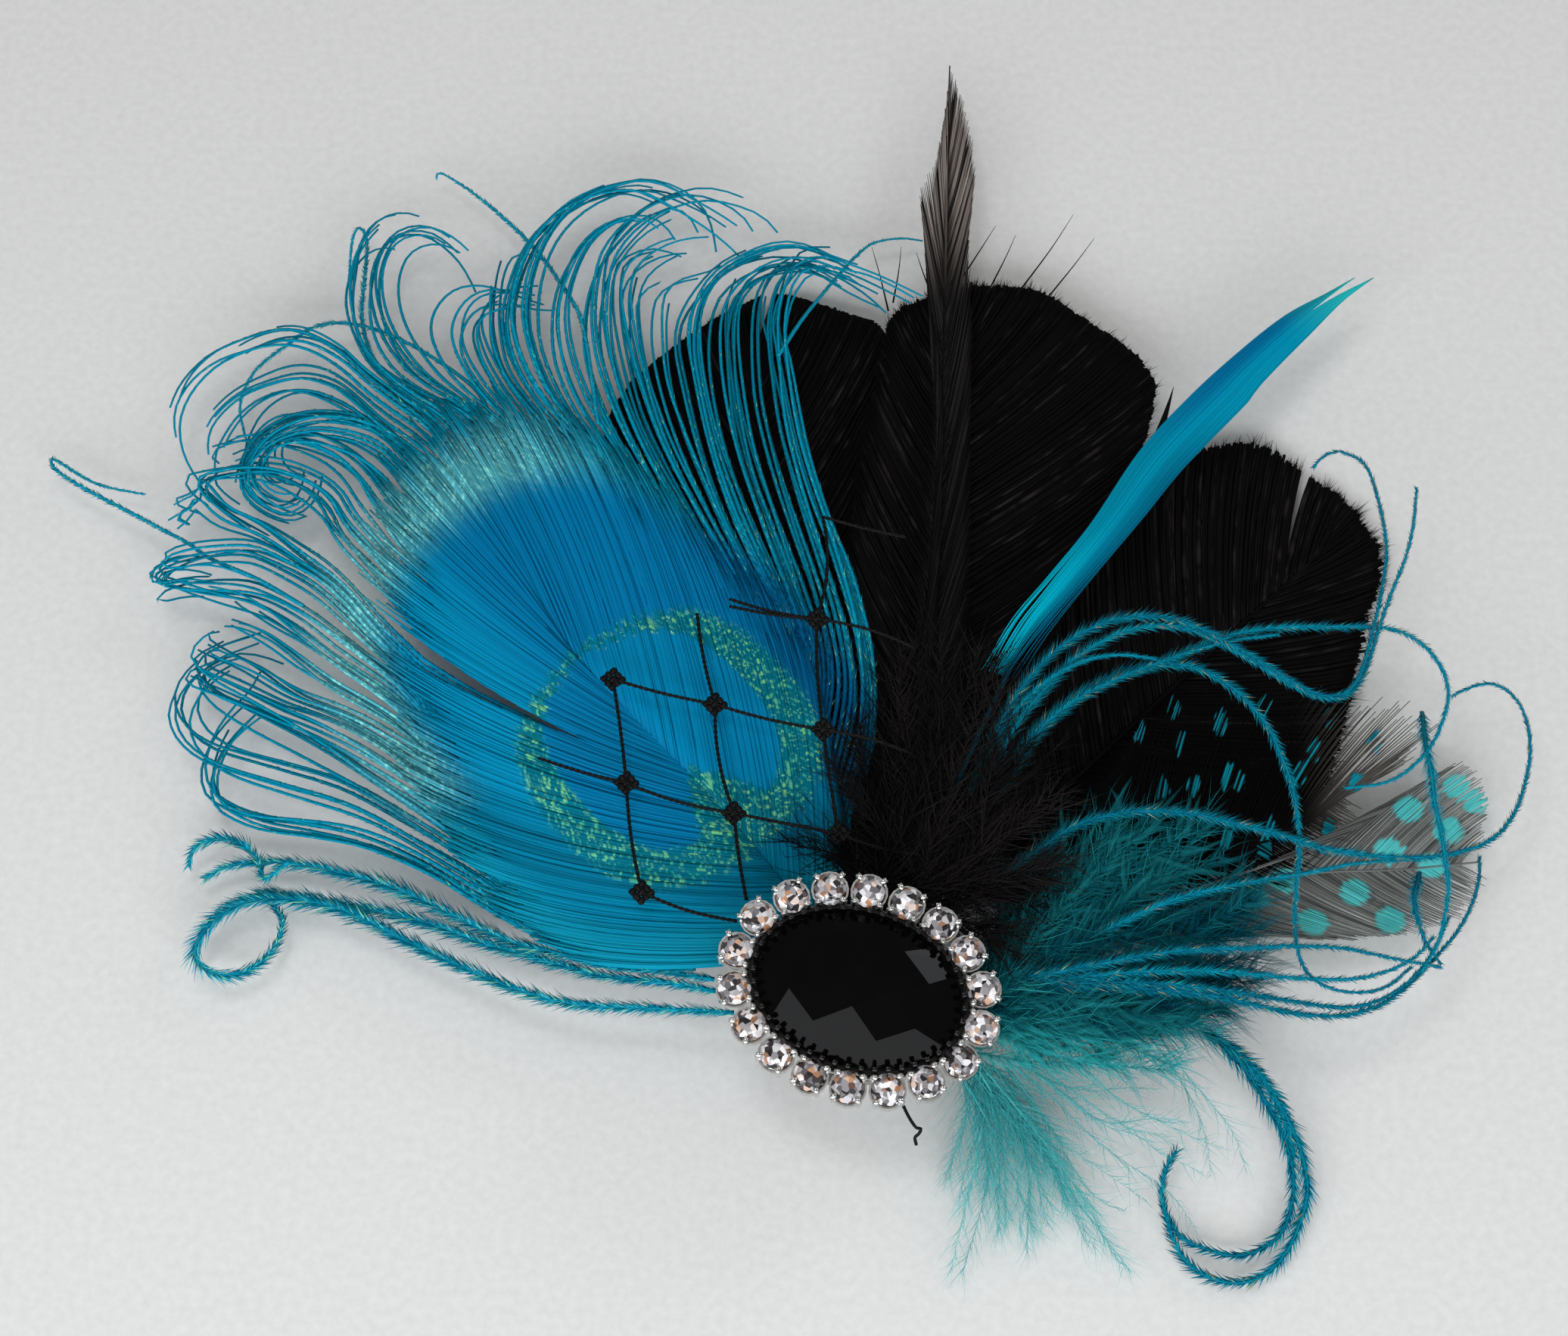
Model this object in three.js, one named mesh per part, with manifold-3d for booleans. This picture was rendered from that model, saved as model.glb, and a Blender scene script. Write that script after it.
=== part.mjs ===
// A feather fascinator on a hair clip: a dyed peacock eye, black goose feathers, a hackle, a turquoise blade,
// spotted guinea feathers, soft plumes, a net veil and an oval brooch ringed with rhinestones.
// Millimetres, +Z up. It lies on its clip, the origin is under the brooch on the clip's flat underside,
// and the feathers fan out towards +Y.

import * as THREE from "three";
import { ConvexGeometry } from "three/addons/geometries/ConvexGeometry.js";
import { mergeVertices } from "three/addons/utils/BufferGeometryUtils.js";
import Module from "manifold-3d";

const wasm = await Module();
wasm.setup();

// Driving dimensions

const WALL = 1.0; // thickness of a feather's web
const QUILL = 0.8; // half the width of a bare quill
const EDGE_SHARE = 0.5; // a plume's thickness at its edges, as a share of its middle
const SQUARE = 90; // barbs leave the shaft at this angle unless a row says otherwise
const CLIP = { width: 11, tail: -6, level: 8, nose: 40, height: 8.4, noseHeight: 3.4, jaw: 1.4, slit: 0.6 };
const PIVOT = { back: 3, front: 10, height: 4 }; // where the clip's two jaws are joined
const BROOCH = { x: 0, y: 1, height: 13.2, turn: -18, lean: 10 }; // degrees
// The oval stone: its lozenges' size and how far out they go are shares of its half sizes.
const STONE = {
  length: 25,
  width: 18,
  lift: 1.3,
  edge: 1.2,
  dome: 4,
  edgeFacets: 32,
  baseShare: 0.97,
  facetShare: 0.31,
  cornerLimit: 0.9,
};
const PLATE = { overhang: 1.1, thickness: 1, steps: 24 };
const BEZEL = { inner: 0.35, outer: 0.75, height: 2.2 };
const RING = { count: 18, offset: 2.6 }; // rhinestones, and their distance from the oval stone's edge
const CUP = { radius: 2.25, floor: 0.4, height: 2.4, sides: 16 };
const POCKET = { radius: 2, floorRadius: 0.7, bottom: 1.1 }; // the hollow in a cup
const CLAW = { count: 4, inner: 2.1, outer: 2.5, width: 0.55, low: 0.6, high: 3.3 };
const CURL = { radius: 1.5, sides: 8, steps: 44 };

// Finishes

const finish = (color, roughness, metalness) =>
  new THREE.MeshStandardMaterial({ color, roughness, metalness });
const BLACK_FEATHER = finish(0x0d0c0e, 0.55, 0);
const GREY_HACKLE = finish(0x2b2826, 0.6, 0);
const TURQUOISE_BLADE = finish(0x0d8fb0, 0.45, 0);
const PEACOCK_BLUE = finish(0x0a76a6, 0.4, 0);
const GUINEA_GREY = finish(0x5a6466, 0.6, 0);
const TEAL_DOWN = finish(0x0b7482, 0.8, 0);
const BLACK_NET = finish(0x101012, 0.7, 0);
const SILVER = finish(0xd8d8dc, 0.15, 1);
const CLEAR_STONE = finish(0xf2f0f4, 0.05, 0);
const BLACK_STONE = finish(0x050506, 0.06, 0);
const CLIP_STEEL = finish(0xb9bbbf, 0.3, 1);

// Shared helpers

const MERGE = 1e-4; // vertices this close are one
const radians = THREE.MathUtils.degToRad;
const mix = THREE.MathUtils.lerp;

function named(name, geometry, material) {
  const mesh = new THREE.Mesh(geometry, material);
  mesh.name = name;
  return mesh;
}

// A column of a table, read between its rows. Rows are in rising order of the key column.
function between(rows, key, value, column) {
  const next = rows.findIndex((row) => row[key] >= value);
  if (next <= 0) return rows[next === 0 ? 0 : rows.length - 1][column];
  const [before, after] = [rows[next - 1], rows[next]];
  return mix(before[column], after[column], (value - before[key]) / (after[key] - before[key]));
}

// A closed wall between an upper and an under surface, each a function of two shares from 0 to 1.
// The upper surface faces +Z when the first share runs to the left of the second.
function closedSheet(across, along, upper, under) {
  const positions = [];
  const index = [];
  for (const surface of [upper, under])
    for (let i = 0; i <= across; i++)
      for (let j = 0; j <= along; j++) positions.push(...surface(i / across, j / along));
  const at = (layer, i, j) => (layer * (across + 1) + i) * (along + 1) + j;
  const quad = (a, b, c, d) => index.push(a, c, b, a, d, c);
  for (let i = 0; i < across; i++)
    for (let j = 0; j < along; j++) {
      quad(at(0, i, j), at(0, i + 1, j), at(0, i + 1, j + 1), at(0, i, j + 1));
      quad(at(1, i, j), at(1, i, j + 1), at(1, i + 1, j + 1), at(1, i + 1, j));
    }
  for (let i = 0; i < across; i++) {
    quad(at(0, i, 0), at(1, i, 0), at(1, i + 1, 0), at(0, i + 1, 0));
    quad(at(0, i + 1, along), at(1, i + 1, along), at(1, i, along), at(0, i, along));
  }
  for (let j = 0; j < along; j++) {
    quad(at(0, 0, j + 1), at(1, 0, j + 1), at(1, 0, j), at(0, 0, j));
    quad(at(0, across, j), at(1, across, j), at(1, across, j + 1), at(0, across, j + 1));
  }
  const geometry = new THREE.BufferGeometry();
  geometry.setAttribute("position", new THREE.Float32BufferAttribute(positions, 3));
  geometry.setIndex(index);
  return geometry;
}

function solidOf(geometry) {
  const bare = geometry.clone();
  bare.deleteAttribute("normal");
  bare.deleteAttribute("uv");
  const merged = mergeVertices(bare, MERGE);
  return new wasm.Manifold(
    new wasm.Mesh({
      numProp: 3,
      vertProperties: merged.attributes.position.array,
      triVerts: new Uint32Array(merged.index.array),
    }),
  );
}

function geometryOf(solid) {
  const mesh = solid.getMesh();
  const geometry = new THREE.BufferGeometry();
  geometry.setAttribute("position", new THREE.BufferAttribute(mesh.vertProperties, 3));
  geometry.setIndex(new THREE.BufferAttribute(mesh.triVerts, 1));
  return geometry;
}

// Feathers

// A feather is a shaft through three points with barbs on both sides. A row of its table gives how far the
// barbs reach on each side, the angle at which they leave the shaft and, as a drop, how much lower they end.
// The wall follows the barbs, and may thicken towards their tips.
function featherWall({ shaft, rows, stations, barbSteps, drop, leftTip = WALL, rightTip = WALL }) {
  const midline = new THREE.CatmullRomCurve3(shaft.map((point) => new THREE.Vector3(...point)));
  const read = (share, column, usual) => {
    const value = between(rows, "along", share, column);
    return Number.isFinite(value) ? value : usual;
  };
  function place(acrossShare, share) {
    const side = acrossShare < 0.5 ? "right" : "left";
    const out = Math.abs(2 * acrossShare - 1);
    const start = midline.getPointAt(share);
    const forward = midline.getTangentAt(share);
    const turn = radians(read(share, `${side}Angle`, SQUARE)) * (side === "left" ? 1 : -1);
    const heading = Math.atan2(forward.y, forward.x) + turn;
    const reach = read(share, side, 0) * out;
    const fall = read(share, `${side}Drop`, drop) * out * out;
    const thickness = mix(WALL, side === "left" ? leftTip : rightTip, out * out);
    const x = start.x + reach * Math.cos(heading);
    const y = start.y + reach * Math.sin(heading);
    return { x, y, middle: start.z - fall, thickness };
  }
  const surface = (sign) => (i, j) => {
    const { x, y, middle, thickness } = place(i, j);
    return [x, y, middle + (sign * thickness) / 2];
  };
  return closedSheet(2 * barbSteps, stations, surface(1), surface(-1));
}

const GOOSE_LEFT = {
  shaft: [
    [-2.2, 9.5, 9.4],
    [-10, 50, 4.4],
    [-13, 101, 1.4],
  ],
  rows: [
    { along: 0, left: QUILL, right: QUILL },
    { along: 0.16, left: QUILL, right: QUILL },
    { along: 0.32, left: 7, right: 6 },
    { along: 0.5, left: 15, right: 14 },
    { along: 0.66, left: 19, right: 18 },
    { along: 0.82, left: 18, right: 18.5 },
    { along: 0.92, left: 13, right: 17.5 },
    { along: 0.98, left: 7, right: 14 },
    { along: 1, left: 4, right: 10 },
  ],
  stations: 16,
  barbSteps: 3,
  drop: 0.5,
};

const GOOSE_MIDDLE = {
  shaft: [
    [1.2, 10, 9.4],
    [9, 55, 6.4],
    [16, 104, 4.2],
  ],
  rows: [
    { along: 0, left: QUILL, right: QUILL },
    { along: 0.16, left: QUILL, right: QUILL },
    { along: 0.32, left: 6, right: 8 },
    { along: 0.5, left: 12, right: 17 },
    { along: 0.66, left: 14, right: 22 },
    { along: 0.8, left: 14, right: 25 },
    { along: 0.9, left: 12.5, right: 23.5 },
    { along: 0.97, left: 10, right: 17 },
    { along: 1, left: 7, right: 11 },
  ],
  stations: 16,
  barbSteps: 3,
  drop: 0.6,
};

const GOOSE_RIGHT = {
  shaft: [
    [6.6, 9.5, 9.4],
    [33, 38, 4.2],
    [64, 69, 1.6],
  ],
  rows: [
    { along: 0, left: QUILL, right: QUILL },
    { along: 0.16, left: QUILL, right: QUILL },
    { along: 0.32, left: 8, right: 8 },
    { along: 0.5, left: 16, right: 18 },
    { along: 0.66, left: 21, right: 23.5 },
    { along: 0.8, left: 22.5, right: 18.5 },
    { along: 0.9, left: 22, right: 11.5 },
    { along: 0.96, left: 19, right: 7 },
    { along: 1, left: 12, right: 4 },
  ],
  stations: 16,
  barbSteps: 3,
  drop: 0.9,
};

const HACKLE = {
  shaft: [
    [0.8, 10.5, 11.2],
    [10, 60, 8.6],
    [13.4, 138, 6],
  ],
  rows: [
    { along: 0, left: QUILL, right: QUILL },
    { along: 0.2, left: 1, right: 1 },
    { along: 0.35, left: 5, right: 4 },
    { along: 0.72, left: 4.5, right: 3 },
    { along: 0.84, left: 3.2, right: 2.6 },
    { along: 0.94, left: 1.6, right: 1.4 },
    { along: 1, left: 0.5, right: 0.5 },
  ],
  stations: 14,
  barbSteps: 1,
  drop: 0.2,
};

const BLADE = {
  shaft: [
    [4.4, 11, 11.2],
    [29, 57.5, 9.2],
    [67.5, 102.5, 7.5],
  ],
  rows: [
    { along: 0, left: QUILL, right: QUILL },
    { along: 0.26, left: QUILL, right: QUILL },
    { along: 0.4, left: 2.8, right: 2.8 },
    { along: 0.55, left: 3.6, right: 3.6 },
    { along: 0.75, left: 3.4, right: 3.2 },
    { along: 0.86, left: 2.4, right: 2 },
    { along: 1, left: 0.5, right: 0.5 },
  ],
  stations: 14,
  barbSteps: 1,
  drop: 0.3,
};

const GUINEA_UPPER = {
  shaft: [
    [8.8, 6.5, 9.6],
    [38, 28, 7.8],
    [71, 46, 5],
  ],
  rows: [
    { along: 0, left: QUILL, right: QUILL },
    { along: 0.25, left: QUILL, right: QUILL },
    { along: 0.45, left: 8, right: 5 },
    { along: 0.7, left: 9, right: 6.5 },
    { along: 0.9, left: 5, right: 5.5 },
    { along: 1, left: 1.5, right: 2 },
  ],
  stations: 12,
  barbSteps: 2,
  drop: 0.3,
};

const GUINEA_LOWER = {
  shaft: [
    [9.8, 2.6, 9.4],
    [42, 15, 5.4],
    [77, 29, 3],
  ],
  rows: [
    { along: 0, left: QUILL, right: QUILL },
    { along: 0.25, left: QUILL, right: QUILL },
    { along: 0.45, left: 6, right: 6 },
    { along: 0.7, left: 9, right: 10 },
    { along: 0.9, left: 8, right: 8 },
    { along: 1, left: 3, right: 3 },
  ],
  stations: 12,
  barbSteps: 2,
  drop: 0.4,
};

// The peacock's loose barbs spread wide and end in curls, so its wall thickens towards their tips.
const PEACOCK = {
  shaft: [
    [-5.6, 8, 11.2],
    [-22, 37, 9],
    [-46, 74, 6.6],
  ],
  rows: [
    { along: 0, left: 74, leftAngle: 58, leftDrop: 7.6, right: 22, rightAngle: 48, rightDrop: 0.4 },
    { along: 0.15, left: 77, leftAngle: 52, leftDrop: 7.2, right: 84, rightAngle: 37, rightDrop: 2 },
    { along: 0.3, left: 72, leftAngle: 42, leftDrop: 6.6, right: 84, rightAngle: 35, rightDrop: 2 },
    { along: 0.45, left: 74, leftAngle: 34, leftDrop: 6, right: 82, rightAngle: 34, rightDrop: 1.6 },
    { along: 0.6, left: 72, leftAngle: 25, leftDrop: 5.2, right: 75, rightAngle: 32, rightDrop: 1.2 },
    { along: 0.75, left: 62, leftAngle: 17, leftDrop: 4.4, right: 64, rightAngle: 29, rightDrop: 1 },
    { along: 0.9, left: 51, leftAngle: 3, leftDrop: 3.8, right: 48, rightAngle: 23, rightDrop: 1.8 },
    { along: 1, left: 42, leftAngle: -12, leftDrop: 3.4, right: 42, rightAngle: 14, rightDrop: 3.2 },
  ],
  stations: 18,
  barbSteps: 8,
  leftTip: 5,
  rightTip: 1.8,
};

// Soft plumes and the veil

// A plume's or veil's outer form: a wall over a plan outline, given by rows of its near and far edges from
// left to right. It is highest at its peak, drops towards its four sides and is thinner at its edges.
function plumeWall({ rows, peak, drop, thickness, steps, strips }) {
  const [left, right] = [rows[0].x, rows[rows.length - 1].x];
  const near = Math.min(...rows.map((row) => row.near));
  const far = Math.max(...rows.map((row) => row.far));
  const fall = (from, to, value, depth) => depth * ((value - from) / (to - from)) ** 2;
  function height(x, y) {
    const sideways = x < peak.x ? fall(peak.x, left, x, drop.left) : fall(peak.x, right, x, drop.right);
    const lengthways = y < peak.y ? fall(peak.y, near, y, drop.near) : fall(peak.y, far, y, drop.far);
    return peak.z - sideways - lengthways;
  }
  const surface = (sign) => (i, j) => {
    const x = mix(right, left, i);
    const y = mix(between(rows, "x", x, "near"), between(rows, "x", x, "far"), j);
    const swell = mix(EDGE_SHARE, 1, Math.sin(Math.PI * j) * Math.sin(Math.PI * i));
    return [x, y, height(x, y) + (sign * thickness * swell) / 2];
  };
  return closedSheet(steps, strips, surface(1), surface(-1));
}

const VEIL = {
  rows: [
    { x: -34, near: 32, far: 38 },
    { x: -27, near: 15, far: 46 },
    { x: -15, near: 13.5, far: 56 },
    { x: -4, near: 15, far: 66 },
    { x: 6, near: 16, far: 63 },
  ],
  peak: { x: 0, y: 14, z: 13.1 },
  drop: { left: 0.7, right: 0, near: 0, far: 1 },
  thickness: 1,
  steps: 10,
  strips: 6,
};

const BLACK_FLUFF = {
  rows: [
    { x: 7.2, near: 15, far: 44 },
    { x: 11, near: 14.5, far: 48 },
    { x: 17.6, near: 12, far: 40 },
  ],
  peak: { x: 11, y: 14, z: 14 },
  drop: { left: 0, right: 0, near: 0, far: 1 },
  thickness: 2.6,
  steps: 6,
  strips: 8,
};

const TEAL_PLUME = {
  rows: [
    { x: 14.6, near: -24, far: 2 },
    { x: 22, near: -26, far: 15 },
    { x: 30, near: -18, far: 24 },
    { x: 38, near: -10, far: 24 },
    { x: 44, near: -3, far: 19 },
  ],
  peak: { x: 15, y: 2, z: 11.3 },
  drop: { left: 0, right: 0.6, near: 10, far: 0 },
  thickness: 1.8,
  steps: 8,
  strips: 10,
};

const HERL_SPRAY = {
  rows: [
    { x: 18.6, near: 3, far: 42 },
    { x: 26, near: 2, far: 52 },
    { x: 36, near: 1, far: 56 },
    { x: 50, near: 0, far: 55 },
    { x: 64, near: 0, far: 54 },
    { x: 73, near: 4, far: 50 },
    { x: 80, near: 16, far: 46 },
    { x: 86, near: 26, far: 40 },
  ],
  peak: { x: 19, y: 25, z: 13.8 },
  drop: { left: 0, right: 5.5, near: 0, far: 0 },
  thickness: 2,
  steps: 12,
  strips: 8,
};

// Two loose strands side by side, which hook round and lie on the surface.
const HERL_CURL_ROUTE = [
  [46, -3.5, 6.4],
  [50.5, -9, 4.4],
  [54, -16, 2.8],
  [55.5, -23, 2],
  [53, -29.5, 1.8],
  [47, -33.2, 1.8],
  [41, -32, 1.8],
  [37.2, -27, 1.8],
  [35.8, -21, 1.8],
  [37.2, -16.5, 1.8],
];

function roundSection(radius, sides) {
  const section = new THREE.Shape();
  for (let k = 0; k <= sides; k++) {
    const turn = (2 * Math.PI * k) / sides;
    const [x, y] = [radius * Math.cos(turn), radius * Math.sin(turn)];
    if (k === 0) section.moveTo(x, y);
    else section.lineTo(x, y);
  }
  return section;
}

function herlCurl() {
  const route = new THREE.CatmullRomCurve3(HERL_CURL_ROUTE.map((point) => new THREE.Vector3(...point)));
  return new THREE.ExtrudeGeometry(roundSection(CURL.radius, CURL.sides), {
    extrudePath: route,
    steps: CURL.steps,
  });
}

// Hair clip: plain and closed, two jaws that meet at the pivot, level under the quills and tapering to the
// nose. The finger tabs part behind the pivot.

function clipGeometry() {
  const { tail, level, nose, height, noseHeight, jaw, slit } = CLIP;
  const side = new THREE.Shape();
  side.moveTo(tail, 0);
  side.lineTo(nose, 0);
  side.lineTo(nose, jaw);
  side.lineTo(PIVOT.front, jaw);
  side.lineTo(PIVOT.front, jaw + slit);
  side.lineTo(nose, jaw + slit);
  side.lineTo(nose, noseHeight);
  side.lineTo(level, height);
  side.lineTo(tail, height);
  side.lineTo(tail, height - jaw);
  side.lineTo(PIVOT.back, PIVOT.height);
  side.lineTo(tail, jaw);
  side.closePath();
  const geometry = new THREE.ExtrudeGeometry(side, { depth: CLIP.width, bevelEnabled: false });
  geometry.translate(0, 0, -CLIP.width / 2);
  geometry.rotateX(Math.PI / 2);
  geometry.rotateZ(Math.PI / 2);
  return geometry;
}

// Brooch

function ellipse(halfLength, halfWidth) {
  return new THREE.Shape().absellipse(0, 0, halfLength, halfWidth, 0, 2 * Math.PI);
}

function ovalDisc(overhang, low, high, hole) {
  const shape = ellipse(STONE.length / 2 + overhang, STONE.width / 2 + overhang);
  if (hole !== undefined) shape.holes.push(ellipse(STONE.length / 2 + hole, STONE.width / 2 + hole));
  const geometry = new THREE.ExtrudeGeometry(shape, {
    depth: high - low,
    bevelEnabled: false,
    curveSegments: PLATE.steps,
  });
  return geometry.translate(0, 0, low);
}

// The places of the rhinestones, evenly spaced along an oval outside the stone, with their outward turn.
function ringPlaces() {
  const half = [STONE.length / 2 + RING.offset, STONE.width / 2 + RING.offset];
  const oval = new THREE.EllipseCurve(0, 0, half[0], half[1], 0, 2 * Math.PI);
  return Array.from({ length: RING.count }, (_, k) => {
    const point = oval.getPointAt(k / RING.count);
    const turn = Math.atan2(point.y / half[1] ** 2, point.x / half[0] ** 2);
    return { x: point.x, y: point.y, turn };
  });
}

function cup() {
  const profile = [
    [0, CUP.floor],
    [CUP.radius, CUP.floor],
    [CUP.radius, CUP.height],
    [POCKET.radius, CUP.height],
    [POCKET.floorRadius, POCKET.bottom],
    [0, POCKET.bottom],
  ];
  const points = profile.map(([radius, height]) => new THREE.Vector2(radius, height));
  return new THREE.LatheGeometry(points, CUP.sides).rotateX(Math.PI / 2);
}

function claw(turn) {
  const geometry = new THREE.BoxGeometry(CLAW.outer - CLAW.inner, CLAW.width, CLAW.high - CLAW.low);
  geometry.translate((CLAW.inner + CLAW.outer) / 2, 0, (CLAW.low + CLAW.high) / 2);
  return geometry.rotateZ(turn);
}

function settingGeometry() {
  const pieces = [
    ovalDisc(PLATE.overhang, 0, PLATE.thickness),
    ovalDisc(BEZEL.outer, PLATE.thickness / 2, BEZEL.height, BEZEL.inner),
  ];
  for (const place of ringPlaces()) {
    const seat = (geometry) => geometry.rotateZ(place.turn).translate(place.x, place.y, 0);
    pieces.push(seat(cup()));
    for (let k = 0; k < CLAW.count; k++)
      pieces.push(seat(claw(((k + 0.5) * 2 * Math.PI) / CLAW.count)));
  }
  return geometryOf(pieces.map(solidOf).reduce((whole, piece) => whole.add(piece)));
}

function ringOfPoints(count, radius, height, turn = 0) {
  return Array.from({ length: count }, (_, k) => {
    const angle = (2 * Math.PI * (k + turn)) / count;
    return new THREE.Vector3(radius * Math.cos(angle), radius * Math.sin(angle), height);
  });
}

// A round brilliant: an eight-sided table, a crown, a girdle and a pavilion that sits in its cup.
const BRILLIANT = [
  { corners: 8, radius: 1.1, height: 3.85, turn: 0 },
  { corners: 8, radius: 1.6, height: 3.42, turn: 0.5 },
  { corners: 16, radius: 1.97, height: 2.95, turn: 0.5 },
  { corners: 16, radius: 1.97, height: 2.8, turn: 0.5 },
  { corners: 8, radius: 0.3, height: 1.45, turn: 0 },
];

function rhinestoneGeometry() {
  return new ConvexGeometry(
    BRILLIANT.flatMap(({ corners, radius, height, turn }) => ringOfPoints(corners, radius, height, turn)),
  );
}

// An oval dome cut in lozenge facets. Its facet corners lie on a paraboloid over a diagonal lattice, on
// which each lozenge is flat, and the hull of the corners and the edge is the stone.
function ovalStoneGeometry() {
  const { length, width, lift, edge, dome, facetShare, cornerLimit, edgeFacets, baseShare } = STONE;
  const reach = Math.floor(1 / facetShare);
  const corners = [];
  for (let i = -reach; i <= reach; i++)
    for (let j = -reach; j <= reach; j++) {
      const [u, v] = [i * facetShare, j * facetShare];
      const out = u * u + v * v;
      if ((i + j) % 2 === 0 || out > cornerLimit) continue;
      const height = lift + edge + dome * (1 - out);
      corners.push(new THREE.Vector3((u * length) / 2, (v * width) / 2, height));
    }
  const oval = new THREE.Vector3(length / 2, width / 2, 1);
  const rim = (height, share) => ringOfPoints(edgeFacets, share, height).map((point) => point.multiply(oval));
  return new ConvexGeometry([...corners, ...rim(lift + edge, 1), ...rim(lift, baseShare)]);
}

function brooch() {
  const group = new THREE.Group();
  group.position.set(BROOCH.x, BROOCH.y, BROOCH.height);
  group.rotation.set(radians(BROOCH.lean), 0, radians(BROOCH.turn));
  group.add(named("setting", settingGeometry(), SILVER));
  group.add(named("oval_stone", ovalStoneGeometry(), BLACK_STONE));
  ringPlaces().forEach((place, k) => {
    const stone = named(`rhinestone_${String(k + 1).padStart(2, "0")}`, rhinestoneGeometry(), CLEAR_STONE);
    stone.position.set(place.x, place.y, 0);
    stone.rotation.z = place.turn;
    group.add(stone);
  });
  return group;
}

// Assembly

const fascinator = new THREE.Group();
fascinator.add(
  named("hair_clip", clipGeometry(), CLIP_STEEL),
  named("goose_feather_left", featherWall(GOOSE_LEFT), BLACK_FEATHER),
  named("goose_feather_middle", featherWall(GOOSE_MIDDLE), BLACK_FEATHER),
  named("goose_feather_right", featherWall(GOOSE_RIGHT), BLACK_FEATHER),
  named("hackle_feather", featherWall(HACKLE), GREY_HACKLE),
  named("turquoise_blade", featherWall(BLADE), TURQUOISE_BLADE),
  named("guinea_feather_upper", featherWall(GUINEA_UPPER), GUINEA_GREY),
  named("guinea_feather_lower", featherWall(GUINEA_LOWER), GUINEA_GREY),
  named("peacock_feather", featherWall(PEACOCK), PEACOCK_BLUE),
  named("net_veil", plumeWall(VEIL), BLACK_NET),
  named("black_fluff", plumeWall(BLACK_FLUFF), BLACK_FEATHER),
  named("teal_plume", plumeWall(TEAL_PLUME), TEAL_DOWN),
  named("herl_spray", plumeWall(HERL_SPRAY), PEACOCK_BLUE),
  named("herl_curl", herlCurl(), PEACOCK_BLUE),
  brooch(),
);

export default fascinator;
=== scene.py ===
# %% [markdown]
# # A feather fascinator on a hair clip
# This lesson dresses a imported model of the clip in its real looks. The solids of the model give every
# piece its place. Feathers are thousands of thin barbs, so most pieces here are joined meshes of strands
# that are worked out with arrays. The brooch keeps its solids and gets finishes and small metal parts.

# %% Load the frame
import math

import bpy
import numpy as np
from mathutils import Matrix, Vector


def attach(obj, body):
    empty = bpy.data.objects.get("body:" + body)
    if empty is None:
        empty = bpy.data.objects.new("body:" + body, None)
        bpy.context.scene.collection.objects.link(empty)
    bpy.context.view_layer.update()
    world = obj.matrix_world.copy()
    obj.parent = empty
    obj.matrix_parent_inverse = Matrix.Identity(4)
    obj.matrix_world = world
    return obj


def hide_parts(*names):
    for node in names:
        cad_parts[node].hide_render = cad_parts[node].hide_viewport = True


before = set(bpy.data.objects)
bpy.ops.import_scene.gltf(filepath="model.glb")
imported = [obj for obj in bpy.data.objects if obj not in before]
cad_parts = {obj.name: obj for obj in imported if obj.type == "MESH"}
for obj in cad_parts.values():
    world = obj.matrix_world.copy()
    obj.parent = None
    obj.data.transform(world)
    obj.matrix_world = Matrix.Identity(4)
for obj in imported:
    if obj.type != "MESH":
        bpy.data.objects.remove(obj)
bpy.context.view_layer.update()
MM = 0.001

# %% [markdown]
# ## Camera
# The photo looks down at the piece on a table from about 65 degrees above the horizon with a short
# telephoto lens. Places below are in millimetres, and this lesson often gives a place as it is seen: on
# the level of the feathers, 8 mm up. A point that lies lower or higher slides along the line of sight,
# so that it still covers the same spot in the picture.

# %% Camera
CAMERA_PLACE = (-8.8, -149.5, 427.0)
CAMERA_TILT = 25.0  # degrees away from straight down
CAMERA_LENS = 85
CAMERA_SENSOR = 36

camera_data = bpy.data.cameras.new("photo_camera")
camera_data.lens = CAMERA_LENS
camera_data.sensor_width = CAMERA_SENSOR
camera = bpy.data.objects.new("photo_camera", camera_data)
camera.location = Vector(CAMERA_PLACE) * MM
camera.rotation_euler = (math.radians(CAMERA_TILT), 0, 0)
bpy.context.scene.collection.objects.link(camera)
bpy.context.scene.camera = camera
bpy.context.scene.view_settings.view_transform = "Standard"
print("camera", [round(value, 4) for value in camera.location])

# %% Places as the photo shows them
PHOTO_SIZE = (2072, 1765)
SEEN_LEVEL = 8.0
SIGHT_SLOPE = math.tan(math.radians(CAMERA_TILT))


def seen(points, level=SEEN_LEVEL):
    """Points (x, y, z) whose x and y were read on a level, slid along the line of sight to their own z."""
    placed = np.array(points, float)
    placed[..., 1] += (level - placed[..., 2]) * SIGHT_SLOPE
    return placed


def from_photo(points):
    """Places in millimetres of points given as photo pixels (across, down) and a height."""
    spots = np.array(points, float)
    focal = CAMERA_LENS / CAMERA_SENSOR * PHOTO_SIZE[0]
    aside = (spots[..., 0] - PHOTO_SIZE[0] / 2) / focal
    up = (PHOTO_SIZE[1] / 2 - spots[..., 1]) / focal
    tilt = math.radians(CAMERA_TILT)
    ahead = up * math.cos(tilt) + math.sin(tilt)
    down_by = up * math.sin(tilt) - math.cos(tilt)
    reach = (spots[..., 2] - CAMERA_PLACE[2]) / down_by
    return np.stack([CAMERA_PLACE[0] + aside * reach, CAMERA_PLACE[1] + ahead * reach, spots[..., 2]], -1)


def on_level(pixels):
    """x and y on the level of the feathers for photo pixels."""
    return from_photo([(across, down, SEEN_LEVEL) for across, down in pixels])[:, :2]


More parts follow.
